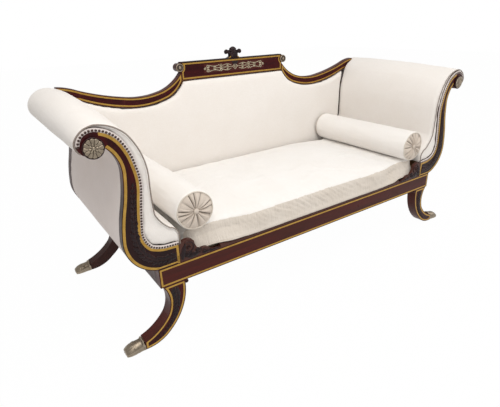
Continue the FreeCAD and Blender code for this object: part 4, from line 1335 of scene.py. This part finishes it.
def rosettes():
    """Cast flowers on the arm scrolls: twelve outer petals, eight inner ones and a button."""
    depth = (rosette_low.y - front_y) / MM
    seat = (rosette_high.y - front_y) / MM
    radius = (rosette_high.x - rosette_low.x) / 2 / MM
    sides = 168
    rings = 34
    points = []
    for i in range(rings + 1):
        share = i / rings
        for angle in whole_turn(sides):
            outer = abs(math.cos(6 * angle)) ** 0.45
            inner = abs(math.cos(4 * angle + 0.4)) ** 0.45
            reach = radius * share * (1.0 - 0.10 * (1.0 - outer) * share ** 3)
            r = radius * share
            height = 2.0 + 3.6 * outer * max(0.0, 1 - ((r - 0.68 * radius) / (0.36 * radius)) ** 2) ** 0.5
            if r < 0.52 * radius:
                arch = max(0.0, 1 - ((r - 0.33 * radius) / (0.2 * radius)) ** 2) ** 0.5
                height = max(height, 1.4 + 5.2 * inner * arch)
            if r < 0.2 * radius:
                height = 3.0 + 4.8 * math.sqrt(max(0.0, 1 - (r / (0.2 * radius)) ** 2))
            y = seat - min(height, seat - depth)
            points.append(spot(scroll_x + reach * math.cos(angle), y, scroll_z + reach * math.sin(angle)))
    points += circle_spots((scroll_x, scroll_z), 0.88 * radius, seat, whole_turn(sides))
    faces = grid_faces(rings + 2, sides, wrap=True)
    faces.append(tuple((rings + 1) * sides + k for k in range(sides)))
    both_sides("rosette", points, faces, cast_brass, "scroll_rosette")


def finial():
    """A carved palmette on a spreading stem with a volute at each side."""
    middle = (sum(b.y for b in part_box("crest_finial")) / 2 - front_y) / MM
    base = tablet_top
    form = Form()
    flare = np.linspace(-62, 62, 63)
    rise = [24.0 * math.exp(-max(0.0, abs(x) - 14.0) / 13.0) for x in flare]
    stem = []
    for x, top in zip(flare, rise):
        stem += [spot(x, crest_y + y, base + z) for y, z in ((4, -0.6), (4, top), (31, top), (31, -0.6))]
    form.add(stem, tube_faces(len(flare), 4))
    path = [spot(0, middle, base + h) for h in range(2, 40, 3)]
    form.tube(path, [MM * 14.0] * len(path), 14, flat=0.75)
    form.bead((0, middle, base + 41), (22.0, 11.0, 18.0))
    for face, sense in ((middle - 8.0, 1), (middle + 8.0, -1)):
        lobes = Form()
        for turn in (-64, -32, 0, 32, 64):
            lobes.leaf((0.12 * turn, base + 32), 90 - turn, 25 - 0.08 * abs(turn), 12, 5.6, face, rows=11)
        for side in (-1, 1):
            lobes.leaf((side * 8, base + 2), 90 - side * 50, 30, 13, 5.0, face - 3, side * 40, rows=11)
            lobes.leaf((side * 8, base + 30), 90 - side * 118, 20, 10, 4.6, face, rows=11)
        lobes.leaf((0, base + 1), 90, 32, 15, 5.2, face - 3)
        if sense < 0:
            plane = front_y + face * MM
            lobes.points = [(x, 2 * plane - y, z) for x, y, z in lobes.points]
        form.add(lobes.points, lobes.faces)
    for side in (-1, 1):
        turns = []
        for i in range(26):
            t = i / 25
            r = 12.0 * (1 - 0.72 * t)
            angle = math.radians(200) - 2 * math.pi * 1.15 * t
            turns.append(spot(side * (42 + r * math.cos(angle)), middle, base + 32 + r * math.sin(angle)))
        arm = [spot(side * (10 + 4.2 * k), middle, base + 25 + 0.4 * k) for k in range(5)]
        form.tube(arm + turns, [MM * 5.0] * 5 + [MM * (4.8 - 0.06 * k) for k in range(26)], 10, flat=1.5)
        form.bead((side * 42, middle, base + 32), (4.6, 9.0, 4.6))
    lines = Form()
    for side in (-1, 1):
        run = [(x, top) for x, top in zip(flare, rise) if 15.0 <= side * x]
        lines.tube([spot(x, crest_y + 3.8, base + top - 2.6) for x, top in run], [2.3 * MM] * len(run), 8,
                   flat=0.3)
    lines.piece("finial_brass_line", brass_line, "brass_line")
    piece = form.piece("carved_finial", carved, "rosewood", "crest_finial")
    evened(piece, 0.0014, 1)
    for vertex in piece.data.vertices:
        vertex.co.z = max(vertex.co.z, base * MM + 0.0001)


def tablet_drop():
    """The leaf carved on the tablet below the finial."""
    form = Form()
    for turn in (-52, -26, 0, 26, 52):
        length = 26 - 0.14 * abs(turn)
        form.leaf((0.12 * turn, tablet_top - 13), 270 + turn, length, 11, 2.6, crest_y, rows=11)
    form.piece("tablet_leaf", carved, "rosewood")


def tablet_moulding():
    """A dark bead and fillet along the top of the crest tablet."""
    profile = [(0.3, -3.2), (-1.8, -3.0), (-2.8, -1.6), (-3.4, -0.2), (-2.8, 1.4), (-1.5, 2.2), (14.0, 2.6),
               (30.0, 2.4), (34.0, 1.6), (34.6, 0.1), (0.6, 0.1)]
    half = tablet_half - 3.0
    points = []
    for i in range(81):
        x = -half + 2 * half * i / 80
        wear = 0.25 * noise.noise(Vector((0.03 * x, 3.0, 0.0)))
        points += [spot(x, crest_y + y, tablet_top + z + wear * (z > 1.0)) for y, z in profile]
    new_piece("tablet_moulding", points, tube_faces(81, len(profile)), wood_back)


def crest_roll_faces():
    """Turned metal discs on the fronts of the crest's rolls, each with a dark ring."""
    roll_low, roll_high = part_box("right_crest_roll")
    centre = ((roll_low.x + roll_high.x) / 2 / MM, (roll_low.z + roll_high.z) / 2 / MM)
    y0 = (roll_low.y - front_y) / MM + 3.4
    form = Form()
    rows = [(19.9, 0.6), (19.7, -1.6), (18.0, -3.0), (16.0, -2.6), (14.6, -1.2), (9.5, -1.5), (7.0, -3.4),
            (3.6, -4.6), (0.2, -4.9)]
    form.turned([(r, y0 + y) for r, y in rows], centre)
    form.pair("crest_roll_face", cast_brass, "cast_brass")
    ring = Form()
    ring.tube(circle_spots(centre, 15.2, y0 - 2.0, np.linspace(0, 2 * math.pi, 61)), [1.3 * MM] * 61, 8)
    ring.pair("crest_roll_ring", carved, "rosewood")


def marquetry():
    """Flat scrollwork let into the tablet: bars, C-scrolls, rings, flowers and a lozenge."""
    face_y = (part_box("crest_marquetry")[0].y - front_y) / MM
    middle = sum(b.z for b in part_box("crest_marquetry")) / 2 / MM
    form = Form()

    def line(points, radius=1.7):
        form.tube([spot(x, face_y, middle + z) for x, z in points], [radius * MM] * len(points), 8, flat=0.22)

    def ring(x, z, radius, turns=1.0, start=0.0, hand=1):
        count = int(30 * turns) + 1
        angles = [math.radians(start) + hand * 2 * math.pi * turns * i / (count - 1) for i in range(count)]
        line([(x + radius * (1 - 0.55 * (turns > 1) * i / (count - 1)) * math.cos(a),
               z + radius * (1 - 0.55 * (turns > 1) * i / (count - 1)) * math.sin(a))
              for i, a in enumerate(angles)])

    for hand in (-1, 1):
        line([(hand * (17 + 5 * k), 0.0) for k in range(25)], 1.5)
        for up in (-1, 1):
            line([(hand * (24 + 4 * k), up * (8 + 7 * math.sin(math.pi * k / 14))) for k in range(15)])
            ring(hand * 88, up * 11, 7.5, 1.4, 90 - 90 * hand, -hand * up)
            line([(hand * (96 + 4 * k), up * (16 - 7 * math.sin(math.pi * k / 16))) for k in range(17)])
            ring(hand * 168, up * 10, 8.5, 1.5, 90 + 90 * hand, hand * up)
            for x in (48, 126):
                for turn in range(5):
                    heading = 90 * up + 36 * (turn - 2)
                    form.leaf((hand * x, middle + up * 5), heading, 8.0, 4.2, 0.4, face_y, rows=7, cols=5)
        ring(hand * 186, 0, 6.0, 1.3, 90, hand)
    lozenge = [(-16, 0), (0, 15), (16, 0), (0, -15), (-16, 0)]
    for a, b in zip(lozenge, lozenge[1:]):
        line([(a[0] + (b[0] - a[0]) * t, a[1] + (b[1] - a[1]) * t) for t in np.linspace(0, 1, 7)])
    ring(0, 0, 5.5)
    form.piece("crest_figure", marquetry_figure, "marquetry")


def foot_lines():
    """The brass line along the foot of each facing, above the rail, and the short line up its end."""
    form = Form()
    count = 24
    bars = ((foot_end + 3.5, rail_end + 3.0, rail_top + 3.0, rail_top + 9.5),
            (foot_end + 3.5, foot_end + 10.5, rail_top + 9.5, rail_top + 30.0))
    for x0, x1, z0, z1 in bars:
        rows = []
        for t in np.linspace(0, 1, count + 1):
            x = x0 + (x1 - x0) * t
            z = z0 + (z1 - z0) * t
            if x1 - x0 > z1 - z0:
                rows += [spot(x, 0.2, z0), spot(x, -0.3, z0 + 0.3), spot(x, -0.3, z1 - 0.3), spot(x, 0.2, z1)]
            else:
                rows += [spot(x0, 0.2, z), spot(x0 + 0.3, -0.3, z), spot(x1 - 0.3, -0.3, z), spot(x1, 0.2, z)]
        form.add(rows, tube_faces(count + 1, 4))
    form.pair("facing_foot_line", brass_line, "brass_line", smooth=False)


def nail_tape():
    """The cover's turned edge on the facing, which the close nails hold down."""
    line = resampled(inner_edge(), 130)
    left = normals_2d(line)
    lane = 9.2
    points = []
    for i, (point, normal) in enumerate(zip(line, left)):
        fray = 0.35 * math.sin(1.9 * i) + 0.2 * math.sin(0.7 * i)
        section = ((-0.4, 0.05), (-2.3, 3.9), (-3.1, 3.6), (-1.6, -0.5), (0.5 * lane, -0.55),
                   (lane + fray, -0.3), (lane + fray, 0.05))
        points += [spot(point[0] + across * normal[0], y, point[1] + across * normal[1])
                   for across, y in section]
    both_sides("nailed_edge", points, tube_faces(len(line), len(section)), edge_cloth)


def roundel_rims():
    """The dark turned rim round each brass flower."""
    form = Form()
    ring = circle_spots((scroll_x, scroll_z), 31.6, -4.2, np.linspace(0, 2 * math.pi, 91))
    form.tube(ring, [2.3 * MM] * len(ring), 10)
    form.pair("roundel_rim", carved, "rosewood")


nail_tape()
roundel_rims()
facing_carving()
leg_carving()
bracket_carving()
paws()
rosettes()
finial()
tablet_drop()
tablet_moulding()
crest_roll_faces()
marquetry()
foot_lines()
